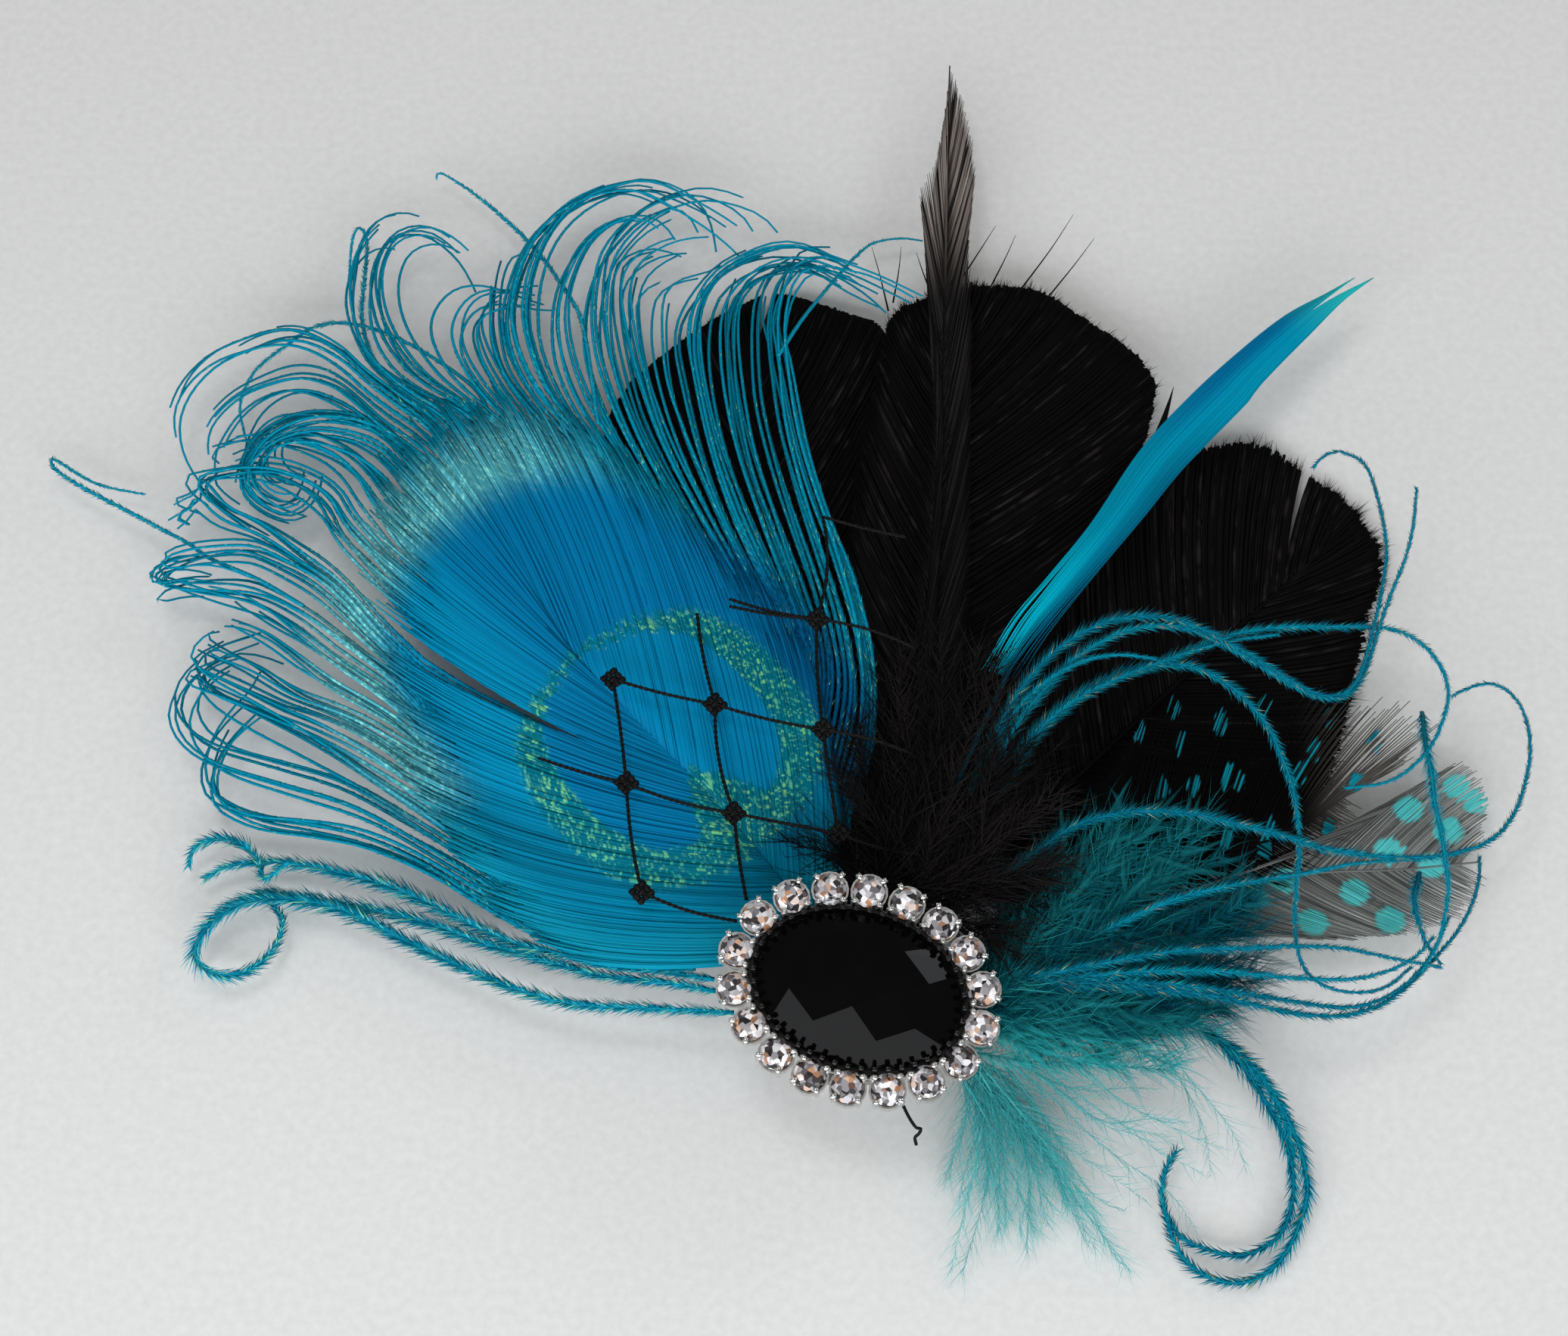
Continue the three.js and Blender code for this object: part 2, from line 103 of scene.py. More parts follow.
print("middle of the photo", on_level([(PHOTO_SIZE[0] / 2, PHOTO_SIZE[1] / 2)]).round(1))

# %% [markdown]
# ## Shader maths
# A finish is a small tree of nodes. Wrapping a socket in a class with Python's operators lets a pattern be
# written as plain maths, such as `1 - mask`, and each operation adds its Math node. Any other node comes
# from one method that takes the node's type, its settings and its inputs.


# %% Sockets as Python values
class Wire:
    """An output socket of a finish, for use in expressions."""

    def __init__(self, finish, socket):
        self.finish = finish
        self.socket = socket

    def maths(self, operation, *others):
        inputs = dict(enumerate((self, *others)))
        return self.finish.node("ShaderNodeMath", {"operation": operation}, inputs)

    def __add__(self, other):
        return self.maths("ADD", other)

    def __sub__(self, other):
        return self.maths("SUBTRACT", other)

    def __rsub__(self, other):
        return self.finish.number(other).maths("SUBTRACT", self)

    def __mul__(self, other):
        return self.maths("MULTIPLY", other)

    def __truediv__(self, other):
        return self.maths("DIVIDE", other)

    def __pow__(self, other):
        return self.maths("POWER", other)

    __radd__ = __add__
    __rmul__ = __mul__

    def smooth(self, low, high):
        """0 below low, 1 above high and a smooth step between. It falls where low is above high."""
        settings = {"interpolation_type": "SMOOTHSTEP"}
        inputs = {"Value": self, "From Min": min(low, high), "From Max": max(low, high)}
        wire = self.finish.node("ShaderNodeMapRange", settings, inputs)
        return wire if low < high else 1 - wire


print("sockets work in expressions")


# %% Finishes
class Finish:
    """A material with a Principled surface, built by expressions."""

    def __init__(self, name):
        self.material = bpy.data.materials.new(name)
        self.material.use_nodes = True
        self.tree = self.material.node_tree
        self.surface = self.tree.nodes["Principled BSDF"]

    def node(self, kind, settings=None, inputs=None, output=0):
        made = self.tree.nodes.new(kind)
        for name, value in (settings or {}).items():
            if name == "stops":
                self.fill_ramp(made.color_ramp, value)
            else:
                setattr(made, name, value)
        for name, value in (inputs or {}).items():
            self.feed(made.inputs[name], value)
        return Wire(self, made.outputs[output])

    def feed(self, socket, value):
        """Links a wire to a socket, or sets a plain value on it."""
        if isinstance(value, Wire):
            self.tree.links.new(value.socket, socket)
        else:
            socket.default_value = value

    @staticmethod
    def fill_ramp(ramp, stops):
        while len(ramp.elements) < len(stops):
            ramp.elements.new(0.5)
        for element, (place, colour) in zip(ramp.elements, stops):
            element.position = place
            element.color = colour

    def number(self, value):
        wire = self.node("ShaderNodeValue")
        wire.socket.default_value = value
        return wire

    def fact(self, name):
        """A number that the piece's mesh holds at each point."""
        return self.node("ShaderNodeAttribute", {"attribute_name": name}, output="Fac")

    def spot(self, home=None):
        """The place on the piece in millimetres, or in the frame of a matrix."""
        where = self.node("ShaderNodeTexCoord", output="Object")
        scaled = self.shade(where, 1 / MM)
        if home is None:
            return scaled
        inputs = {"Vector": scaled, "Location": home.to_translation(), "Rotation": home.to_euler()}
        return self.node("ShaderNodeMapping", {"vector_type": "TEXTURE"}, inputs)

    def axis(self, name, home=None):
        """One of X, Y and Z of that place."""
        return self.node("ShaderNodeSeparateXYZ", None, {0: self.spot(home)}, output=name)

    def noise(self, vector, scale, detail=2.0):
        inputs = {"Vector": vector, "Scale": scale, "Detail": detail}
        return self.node("ShaderNodeTexNoise", None, inputs, output="Fac")

    def vector(self, x, y, z):
        return self.node("ShaderNodeCombineXYZ", None, {"X": x, "Y": y, "Z": z})

    def blend(self, factor, first, second):
        """A colour between two, by a factor from 0 to 1."""
        inputs = {"Factor": factor, 6: first, 7: second}
        return self.node("ShaderNodeMix", {"data_type": "RGBA"}, inputs, output=2)

    def shade(self, value, amount):
        """A colour made lighter or darker, or a vector made longer or shorter."""
        return self.node("ShaderNodeVectorMath", {"operation": "SCALE"}, {0: value, "Scale": amount})

    def set(self, **sockets):
        """Sets the surface's sockets, named as Blender names them with _ for a space."""
        for name, value in sockets.items():
            self.feed(self.surface.inputs[name.replace("_", " ")], value)
        return self


def tint(red, green, blue):
    """A colour from its 0 to 255 screen values, as the linear RGBA that shaders use."""
    shares = np.array([red, green, blue]) / 255
    linear = np.where(shares <= 0.04045, shares / 12.92, ((shares + 0.055) / 1.055) ** 2.4)
    return (*linear, 1.0)


print("middle grey is", round(float(tint(128, 128, 128)[0]), 3), "to a shader")

# %% [markdown]
# ## Floor and light
# The piece lies on a pale table. A wide, low lamp lights it from the front, a smaller one high up on the
# far left gives soft shadows, a little one at the far right puts a glint on the stone, and an even sky
# fills the rest. No lamp hangs straight above, because the flat top of the black stone would mirror it.

# %% Floor
FLOOR_SIZE = 3.0
FLOOR_GRAIN = 900.0

bpy.ops.object.select_all(action="DESELECT")
bpy.ops.mesh.primitive_plane_add(size=FLOOR_SIZE)
floor = bpy.context.object
floor.name = "floor"
floor_finish = Finish("pale_floor")
floor_place = floor_finish.node("ShaderNodeTexCoord", output="Object")
floor_grain = floor_finish.noise(floor_place, FLOOR_GRAIN, detail=3.0)
floor_finish.set(
    Base_Color=floor_finish.blend(floor_grain, tint(206, 206, 204), tint(226, 226, 224)),
    Roughness=0.9,
)
floor.data.materials.append(floor_finish.material)
print("floor", FLOOR_SIZE, "m wide")

# %% Lamps and sky
LAMPS = [
    {"name": "front_lamp", "place": (-0.06, -0.545, 0.357), "size": (1.36, 0.375), "watts": 7.0},
    {"name": "top_lamp", "place": (-0.2, 0.2, 0.78), "size": (0.26, 0.26), "watts": 1.05},
    {"name": "glint_lamp", "place": (0.53, 0.46, 0.36), "size": (0.2, 0.2), "watts": 0.62},
]
AIM = Vector((0.0, 0.04, 0.0))
SKY_STRENGTH = 0.335
LAMP_COLOUR = (0.97, 1.0, 1.04)
SKY_COLOUR = (1.0, 0.97, 0.945, 1.0)  # a little warm, for warm shadows

for lamp in LAMPS:
    light = bpy.data.lights.new(lamp["name"], "AREA")
    light.shape = "RECTANGLE"
    light.size, light.size_y = lamp["size"]
    light.energy = lamp["watts"]
    light.color = LAMP_COLOUR
    holder = bpy.data.objects.new(lamp["name"], light)
    holder.location = lamp["place"]
    holder.rotation_euler = (AIM - Vector(lamp["place"])).to_track_quat("-Z", "Y").to_euler()
    bpy.context.scene.collection.objects.link(holder)

sky = bpy.data.worlds.new("studio_sky")
sky.use_nodes = True
sky.node_tree.nodes["Background"].inputs["Color"].default_value = SKY_COLOUR
sky.node_tree.nodes["Background"].inputs["Strength"].default_value = SKY_STRENGTH
bpy.context.scene.world = sky
print("lamps", len(LAMPS))

# %% [markdown]
# ## Strands
# A barb is a thin, slightly flat strand, and a feather has hundreds. Curves with a bevel would be slow at
# that number, and hair can't be exported, so a bundle works out all strands of a piece as arrays: a
# four-cornered section along each path, closed at both ends. Hairs of down have three corners and a point,
# and barbules, the hairs on a barb, are spikes of four faces. Each point also keeps a few facts for the
# shaders: how far along its strand it is, how many millimetres that is, a number for the strand, and a
# shade that a piece may use.

# %% Bundles of strands
FACTS = ("along", "millimetre", "strand", "shade")
UP = np.array([0.0, 0.0, 1.0])
NEARLY_UP = UP + 1e-3  # a little askew, so that an upright hair has a side too
SHORTEST = 1e-9
HAIR_NARROWING = 0.5  # width of a hair before its point, as a share of its foot's
HAIR_BACK = 0.5
HAIR_RISE = 0.6


def unit(vectors):
    return vectors / np.maximum(np.linalg.norm(vectors, axis=-1, keepdims=True), SHORTEST)


def tube_walls(index):
    """Faces with four corners between the rings of tubes, from the numbers of the rings' points."""
    low, high = index[..., :-1, :], index[..., 1:, :]
    return np.stack([low, np.roll(low, -1, -1), np.roll(high, -1, -1), high], axis=-1).reshape(-1, 4)


class Bundle:
    """Strands, hairs and spikes that become one mesh. Places are in millimetres."""

    def __init__(self):
        self.points = []
        self.faces = {3: [], 4: []}
        self.facts = {name: [] for name in FACTS}
        self.count = 0

    def keep(self, points, faces, facts):
        for corners, rows in faces.items():
            self.faces[corners].append(rows + self.count)
        self.points.append(points)
        for name in FACTS:
            self.facts[name].append(np.broadcast_to(facts.get(name, 0.0), len(points)))
        self.count += len(points)

    def strands(self, paths, half_width, half_depth, strand=0.0, shade=0.0):
        """paths is strands x points x 3. Widths and facts may vary by strand and point."""
        strands, steps = paths.shape[:2]
        forward = unit(np.gradient(paths, axis=1))
        side = unit(np.cross(UP, forward))
        over = np.cross(forward, side)
        width = np.broadcast_to(half_width, (strands, steps))[..., None]
        depth = np.broadcast_to(half_depth, (strands, steps))[..., None]
        ring = [paths + side * width, paths + over * depth, paths - side * width, paths - over * depth]
        points = np.stack(ring, axis=2).reshape(-1, 3)
        index = np.arange(strands * steps * 4).reshape(strands, steps, 4)
        caps = np.concatenate([index[:, 0, ::-1], index[:, -1]])
        spans = np.linalg.norm(np.diff(paths, axis=1, prepend=paths[:, :1]), axis=2)

        def spread(values):
            values = np.asarray(values, float)
            values = values[:, None] if values.ndim == 1 else values
            return np.repeat(np.broadcast_to(values, (strands, steps)).reshape(-1), 4)

        facts = {
            "along": spread(np.linspace(0, 1, steps)[None, :]),
            "millimetre": spread(np.cumsum(spans, axis=1)),
            "strand": spread(strand),
            "shade": spread(shade),
        }
        self.keep(points, {4: np.concatenate([tube_walls(index), caps])}, facts)

    def one_strand(self, path, half_widths, half_depth, strand=0.0, shade=0.0):
        """A single strand, with its half width at the start and at the end."""
        self.strands(path[None], np.linspace(*half_widths, len(path))[None], half_depth, strand, shade)

    def hairs(self, paths, half_width, strand, shade=0.0):
        """Thin hairs with a three-cornered section and a pointed tip. paths is hairs x points x 3."""
        hairs, steps = paths.shape[:2]
        forward = unit(np.gradient(paths, axis=1))
        side = unit(np.cross(forward, NEARLY_UP))
        over = np.cross(side, forward)
        width = half_width * np.linspace(1, HAIR_NARROWING, steps - 1)[None, :, None]
        body, aside, above = paths[:, :-1], side[:, :-1] * width, over[:, :-1] * width
        ring = [
            body + aside,
            body + HAIR_RISE * above - HAIR_BACK * aside,
            body - HAIR_RISE * above - HAIR_BACK * aside,
        ]
        points = np.concatenate([np.stack(ring, axis=2).reshape(hairs, -1, 3), paths[:, -1:]], axis=1)
        size = points.shape[1]
        index = np.arange(size - 1).reshape(steps - 1, 3)
        last = index[-1]
        ends = np.array([index[0, ::-1], *([last[turn], last[turn - 2], size - 1] for turn in range(3))])
        first = np.arange(hairs)[:, None, None] * size
        faces = {4: (first + tube_walls(index)).reshape(-1, 4), 3: (first + ends).reshape(-1, 3)}
        along = np.append(np.repeat(np.linspace(0, 1, steps)[:-1], 3), 1.0)
        facts = {
            "along": np.tile(along, hairs),
            "strand": np.repeat(np.broadcast_to(strand, hairs), size),
            "shade": shade,
        }
        self.keep(points.reshape(-1, 3), faces, facts)

    def spikes(self, base, tip, half_width, along, strand, shade=0.0):
        """One barbule for each base and tip."""
        forward = unit(tip - base)
        side = unit(np.cross(forward, NEARLY_UP))
        over = np.cross(side, forward)
        corners = [
            base + side * half_width,
            base - 0.5 * side * half_width + over * half_width * 0.5,
            base - 0.5 * side * half_width - over * half_width * 0.5,
            tip,
        ]
        points = np.stack(corners, axis=1).reshape(-1, 3)
        first = np.arange(len(base))[:, None] * 4
        faces = np.concatenate([first + row for row in ([0, 2, 1], [0, 1, 3], [1, 2, 3], [2, 0, 3])])
        facts = {"millimetre": np.tile([0.0, 0.0, 0.0, 1.0], len(base))}
        for name, values in (("along", along), ("strand", strand), ("shade", shade)):
            facts[name] = np.repeat(np.broadcast_to(values, len(base)), 4)
        self.keep(points, {3: faces}, facts)

    def piece(self, name, finish, slot, *nodes):
        """The mesh as an object that rides on the body and stands for CAD nodes."""
        mesh = bpy.data.meshes.new(name)
        points = np.concatenate(self.points) * MM
        corners = [np.concatenate(self.faces[size]) for size in (3, 4) if self.faces[size]]
        loops = np.concatenate([rows.reshape(-1) for rows in corners])
        sizes = np.concatenate([np.full(len(rows), rows.shape[1]) for rows in corners])
        starts = np.concatenate([[0], np.cumsum(sizes)[:-1]])
        mesh.vertices.add(len(points))
        mesh.vertices.foreach_set("co", points.astype(np.float32).reshape(-1))
        mesh.loops.add(len(loops))
        mesh.loops.foreach_set("vertex_index", loops.astype(np.int32))
        mesh.polygons.add(len(sizes))
        mesh.polygons.foreach_set("loop_start", starts.astype(np.int32))
        mesh.polygons.foreach_set("use_smooth", np.ones(len(sizes), bool))
        mesh.update(calc_edges=True)
        for fact, values in self.facts.items():
            attribute = mesh.attributes.new(fact, "FLOAT", "POINT")
            attribute.data.foreach_set("value", np.concatenate(values).astype(np.float32))
        made = bpy.data.objects.new(name, mesh)
        bpy.context.scene.collection.objects.link(made)
        mesh.materials.append(finish.material)
        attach(made, "root")
        if nodes:
            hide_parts(*nodes)
        triangles = int((sizes - 2).sum())
        print(name, "triangles", triangles, "lowest mm", round(float(points[:, 2].min() / MM), 2))


print("facts at each point", FACTS)

# %% [markdown]
# A few helpers shape the paths. One runs a smooth curve through a few points, or through photo pixels at
# given heights, and returns points evenly spaced along it. Others read places and headings along a path.
# The last covers a path with barbules that lean forward on both sides, as on a herl.

# %% Curves
CURVE_STEPS = 24


def lengths(path):
    """How far along its path each point is."""
    return np.concatenate([[0], np.cumsum(np.linalg.norm(np.diff(path, axis=0), axis=1))])


def between(values, marks, rows):
    """Rows of a table with a mark at each row, read at values between the marks."""
    return np.stack([np.interp(values, marks, column) for column in rows.T], axis=-1)


def through(points, count):
    """count points evenly spaced along a smooth curve through the given ones."""
    knots = np.array(points, float)
    slopes = np.gradient(knots, axis=0)
    share = np.linspace(0, 1, CURVE_STEPS, endpoint=False)[:, None]
    square, cube = share**2, share**3
    spans = []
    for start, end, leave, arrive in zip(knots[:-1], knots[1:], slopes[:-1], slopes[1:]):
        spans.append(
            (2 * cube - 3 * square + 1) * start
            + (cube - 2 * square + share) * leave
            + (3 * square - 2 * cube) * end
            + (cube - square) * arrive
        )
    dense = np.concatenate([*spans, knots[-1:]])
    length = lengths(dense)
    return between(np.linspace(0, length[-1], count), length, dense)


def photo_path(route, height, count):
    """count points evenly spaced along a smooth curve through photo pixels at a height, or at one each."""
    heights = np.broadcast_to(height, len(route))
    return through(from_photo(np.column_stack([route, heights])), count)


def bowed(start, bend, end, share):
    """Points on a curve that leaves its start towards a bend and arrives at its end from there."""
    return (1 - share) ** 2 * start + 2 * share * (1 - share) * bend + share**2 * end


def stations(path, at):
    """Places and headings at some lengths along a path."""
    along = lengths(path)
    return between(at, along, path), unit(between(at, along, np.gradient(path, axis=0)))


def along_path(shares, values):
    """Values that stand evenly along a path, read at shares of it."""
    return np.interp(shares, np.linspace(0, 1, len(values)), values)


print("curves of", CURVE_STEPS, "steps a span")

# %% Barbules
BARBULE_SLIP = 0.4  # how far a barbule may slip from its even place, as a share of the spacing
BARBULE_LEANS = (0.6, 1.35)
BARBULE_ROLL = 0.7
BARBULE_REACHES = (0.6, 1.25)
BARBULE_LOWEST = 0.15


def barbules(bundle, path, draw, length, spacing, lean, half_width, strand, shade=None):
    """Spikes on both sides of a path. length may vary along it. Without a shade each spike gets its own."""
    total = lengths(path)[-1]
    at = np.arange(0.0, total, spacing)
    count = len(at)
    at = at + draw.uniform(-BARBULE_SLIP, BARBULE_SLIP, count) * spacing
    base, forward = stations(path, at)
    side = unit(np.cross(forward, UP))
    over = np.cross(side, forward)
    share = np.clip(at / total, 0, 1)
    reach = along_path(share, length)
    for sign in (-1, 1):
        turn = np.radians(lean) * draw.uniform(*BARBULE_LEANS, count)
        roll = draw.uniform(-BARBULE_ROLL, BARBULE_ROLL, count)
        out = side * (sign * np.cos(roll))[:, None] + over * np.sin(roll)[:, None]
        away = forward * np.cos(turn)[:, None] + out * np.sin(turn)[:, None]
        tip = base + away * (reach * draw.uniform(*BARBULE_REACHES, count))[:, None]
        tip[:, 2] = np.maximum(tip[:, 2], BARBULE_LOWEST)
        glint = draw.random(count)
        bundle.spikes(base, tip, half_width, share, strand, glint if shade is None else shade)


print("barbules stay", BARBULE_LOWEST, "mm above the table")

# %% [markdown]
# ## Black goose feathers
# Three satin goose feathers stand behind everything. A real one has a thin shaft and two webs of barbs that
# lie edge to edge. Each web is made of flat strands that run from the shaft to the feather's outline, so
# the fine lines, the soft edge and the splits come from the barbs themselves.

# %% Webs of barbs
STEM_POINTS = 200
OUTLINE_POINTS = 300
BARB_STEPS = 6
BARB_LOWEST = 0.35
BARB_WAVER = 0.12
WAVER_SHARES = [1, 1, 0.4]
QUILL_POINTS = 40
QUILL_FLATNESS = 0.8
QUILL_TONE = 0.5


def web(shaft, edge, draw, barbs, roots, bow, drop, ragged, splits=(), steps=BARB_STEPS, lag=1.0):
    """Paths of the barbs of one side, from the shaft to the edge.

    roots holds the shares of the shaft where the first and the last barb start, and a lag above 1 keeps
    the roots near the foot. A split parts the tips at a share of the edge.
    """
    first, last = roots
    share = np.linspace(0, 1, barbs)
    root_at = first + (last - first) * share**lag
    root = between(root_at, np.linspace(0, 1, STEM_POINTS), through(shaft, STEM_POINTS))
    parted = share.copy()
    for place, gap, soft in splits:
        away = share - place
        parted += np.where(away > 0, 1, -1) * gap * np.exp(-np.abs(away) / soft)
    outline = through([(x, y, 0) for x, y in edge], OUTLINE_POINTS)
    tip = between(parted, np.linspace(0, 1, OUTLINE_POINTS), outline)
    tip[:, 2] = np.maximum(root[:, 2] - drop, BARB_LOWEST)
    tip = seen(tip)
    chord = tip - root
    tip += unit(chord) * draw.normal(0, ragged, (barbs, 1))
    middle = (root + tip) / 2
    forward = unit(np.gradient(root, axis=0))
    outward = chord - forward * np.sum(chord * forward, axis=1, keepdims=True)
    middle += bow * outward + draw.normal(0, BARB_WAVER, (barbs, 3)) * WAVER_SHARES
    t = np.linspace(0, 1, steps)[None, :, None]
    return bowed(root[:, None], middle[:, None], tip[:, None], t)


def quill(bundle, shaft, base, tip, shade=0.0):
    """A shaft with its half width at the base and at the tip."""
    width = np.linspace(base, tip, QUILL_POINTS)[None]
    bundle.strands(through(shaft, QUILL_POINTS)[None], width, width * QUILL_FLATNESS, QUILL_TONE, shade)


print("a barb has", BARB_STEPS, "points")

# %% Satin black
STRAND_SPREAD = 300  # sets the patterns of neighbouring strands apart

black_satin = Finish("black_satin_feather")
satin_strand = black_satin.fact("strand")
satin_along = black_satin.fact("millimetre") * 0.25
satin_fleck = black_satin.noise(black_satin.vector(satin_along, satin_strand * STRAND_SPREAD, 0.0), 1.0)
# Painted sheen: a few barbs are painted lighter in streaks, like clumps of barbs that catch the light.
painted_sheen_streak = satin_strand.smooth(0.6, 1.0) * satin_fleck.smooth(0.42, 0.72)
black_satin.set(
    Base_Color=black_satin.blend(painted_sheen_streak, tint(5, 4, 4), tint(38, 34, 36)),
    Roughness=0.45 + 0.2 * satin_fleck,
    Specular_IOR_Level=0.06,
)
print("finish", black_satin.material.name)

# %% Goose feathers
GOOSE_BARBS = 300
GOOSE_ROOTS = (0.12, 0.93)
GOOSE_BOW = 0.1
GOOSE_LAYERS = 0.06
GOOSE_TAPER = np.array([0.20, 0.28, 0.30, 0.30, 0.28, 0.2])
GOOSE_DEPTH = 0.07
EDGE_HAIRS = 8
EDGE_HAIR_WIDTH = 0.065
EDGE_HAIR_FEET = (0.5, 1.0)  # where a hair leaves the last span of its barb
EDGE_HAIR_SCATTER = [0.2, 0.2, 0.1]
EDGE_HAIR_REACHES = (0.3, 1.0)
TUFT_BARBS = 3  # neighbours whose hairs end together
TUFT_REACHES = (0.35, 1.0)


def edge_hairs(bundle, paths, fuzz, draw):
    """Tufts of hairs on the outer ends of barbs. fuzz is the length of the longest."""
    fringe = np.repeat(paths, EDGE_HAIRS, axis=0)
    hairs = len(fringe)
    span = fringe[:, -1] - fringe[:, -2]
    foot = fringe[:, -2] + span * draw.uniform(*EDGE_HAIR_FEET, (hairs, 1))
    heading = unit(unit(span) + draw.normal(0, EDGE_HAIR_SCATTER, (hairs, 3)))
    tufts = draw.uniform(*TUFT_REACHES, len(paths) // TUFT_BARBS)
    tuft = np.repeat(tufts, TUFT_BARBS * EDGE_HAIRS)[:, None]
    reach = draw.uniform(*EDGE_HAIR_REACHES, (hairs, 1)) * tuft * fuzz
    bundle.spikes(foot, foot + heading * reach, EDGE_HAIR_WIDTH, 1.0, draw.random(hairs))


def goose_feather(name, shaft, left, right, seed, drop=0.6, splits=(), lag=1.5, ragged=0.12, fuzz=2.4):
    """left and right are the outlines of the two webs. Only the left one may have splits."""
    draw = np.random.default_rng(seed)
    bundle = Bundle()
    quill(bundle, shaft, base=0.75, tip=0.2)
    for edge, parts in ((left, splits), (right, ())):
        paths = web(shaft, edge, draw, GOOSE_BARBS, GOOSE_ROOTS, GOOSE_BOW, drop, ragged, parts, lag=lag)
        paths[..., 2] += draw.normal(0, GOOSE_LAYERS, (GOOSE_BARBS, 1))
        bundle.strands(paths, GOOSE_TAPER[None], GOOSE_DEPTH, strand=draw.random(GOOSE_BARBS))
        edge_hairs(bundle, paths, fuzz, draw)
    bundle.piece(name + "_barbs", black_satin, "black_feather", name)


goose_feather(
    "goose_feather_left",
    shaft=[(-2.2, 9.5, 9.4), (-10, 50, 4.4), (-13, 101, 1.4)],
    left=[
        (-4, 22), (-14, 38), (-24, 55), (-31, 70), (-32, 80), (-29, 87), (-24, 92), (-18, 97),
        (-12, 100.5),
    ],
    right=[(0, 22), (3, 38), (5, 55), (6, 75), (5.5, 88), (4, 95.5), (-1, 98), (-6, 100), (-10, 101)],
    seed=11,
    lag=2.2,
    ragged=0.06,
    fuzz=0.6,
)
goose_feather(
    "goose_feather_middle",
    shaft=[(1.2, 10, 9.4), (9, 55, 6.4), (16, 104, 4.2)],
    left=[
        (0, 24), (-1, 40), (-1, 58), (1, 75), (3, 86), (4.8, 95), (6, 97.5), (9, 99.4), (15.4, 101.4),
    ],
    right=[
        (8, 24), (19, 40), (30, 60), (37, 76), (39.4, 85.4), (38.7, 89), (36, 92.4), (31, 96.5),
        (25.3, 100.6), (20.9, 101.6), (16, 101.8),
    ],
    seed=12,
)
goose_feather(
    "goose_feather_right",
    shaft=[(6.6, 9.5, 9.4), (33, 38, 4.2), (64, 69, 1.6)],
    left=[
        (8, 20), (16, 38), (26, 58), (36, 72.5), (42, 75.6), (48, 77.8), (52.4, 78.1), (55, 77),
        (58.7, 74), (64, 69.8),
    ],
    right=[
        (18, 14), (36, 16), (50, 21), (58, 29), (62, 40), (65.4, 52.4), (67.5, 58.4), (67.7, 62.9),
        (66.5, 65.6), (64.2, 69.6),
    ],
    seed=13,
    drop=0.9,
    splits=[(0.93, 0.008, 0.015)],
    ragged=0.25,
    fuzz=3.0,
)

# %% [markdown]
# ## Hackle
# The tall hackle has a dark middle and loose, hair-thin barbs that let the light through at its edges.
# Down grows at its foot. A few stray hairs stand up beside it, and one dark sliver of a feather stands
# beside the blade. Outlines and hairs are read off the photo in pixels.

# %% Hackle grey
hackle_grey = Finish("grey_hackle")
hackle_strand = hackle_grey.fact("strand")
hackle_top = hackle_grey.axis("Y").smooth(98, 118)
hackle_pale = hackle_top * hackle_grey.fact("along").smooth(0.05, 0.4) * hackle_strand.smooth(0.2, 0.8)
hackle_dark = hackle_grey.blend(hackle_strand.smooth(0.5, 1.0), tint(5, 5, 5), tint(34, 31, 31))
hackle_grey.set(
    Base_Color=hackle_grey.blend(hackle_pale, hackle_dark, tint(132, 122, 116)),
    Roughness=0.5,
    Specular_IOR_Level=0.08,
)
print("finish", hackle_grey.material.name)

# %% Hackle feather
HACKLE_SHAFT = [(0.8, 10.5, 11.2), (10, 60, 8.6), (13.7, 137, 6)]
HACKLE_LEFT = [
    (1226, 960), (1240, 760), (1246, 560), (1240, 460), (1226, 384), (1222, 320), (1217, 262),
    (1222, 240), (1236, 214), (1246, 167), (1252, 127), (1256, 92),
]
HACKLE_RIGHT = [
    (1266, 960), (1280, 760), (1282, 560), (1284, 460), (1282, 384), (1280, 320), (1286, 262),
    (1288, 226), (1286, 196), (1279, 156), (1267, 112), (1258, 92),
]
HACKLE_BARBS = 200
HACKLE_ROOTS = (0.05, 0.9)
HACKLE_TAPER = np.array([0.2, 0.18, 0.15, 0.13, 0.1, 0.03])
HACKLE_DEPTH = 0.05
HACKLE_POINTS = 60
HACKLE_FOOT = 40  # points of the shaft that carry loose down
HACKLE_DOWN = (3.0, 5.0, 5.0, 3.0)
HACKLE_DOWN_TONES = (0.7, 0.85, 1.0)
STRAY_HAIRS = [
    [(1174, 411), (1163, 365), (1152, 326)],
    [(1180, 400), (1187, 362), (1191, 326)],
    [(1229, 385), (1219, 358), (1211, 334)],
    [(1271, 368), (1298, 326), (1316, 298)],
    [(1305, 387), (1328, 342), (1342, 311)],
    [(1343, 390), (1388, 330), (1418, 284)],
    [(1374, 406), (1418, 352), (1446, 315)],
]
STRAY_HAIR_HEIGHT = 6.0
STRAY_HAIR_POINTS = 12
STRAY_HAIR_BASE = 0.13
STRAY_HAIR_TIP = 0.03
SLIVER = [(1526, 590), (1540, 548), (1551, 511)]
SLIVER_BASE = 0.7


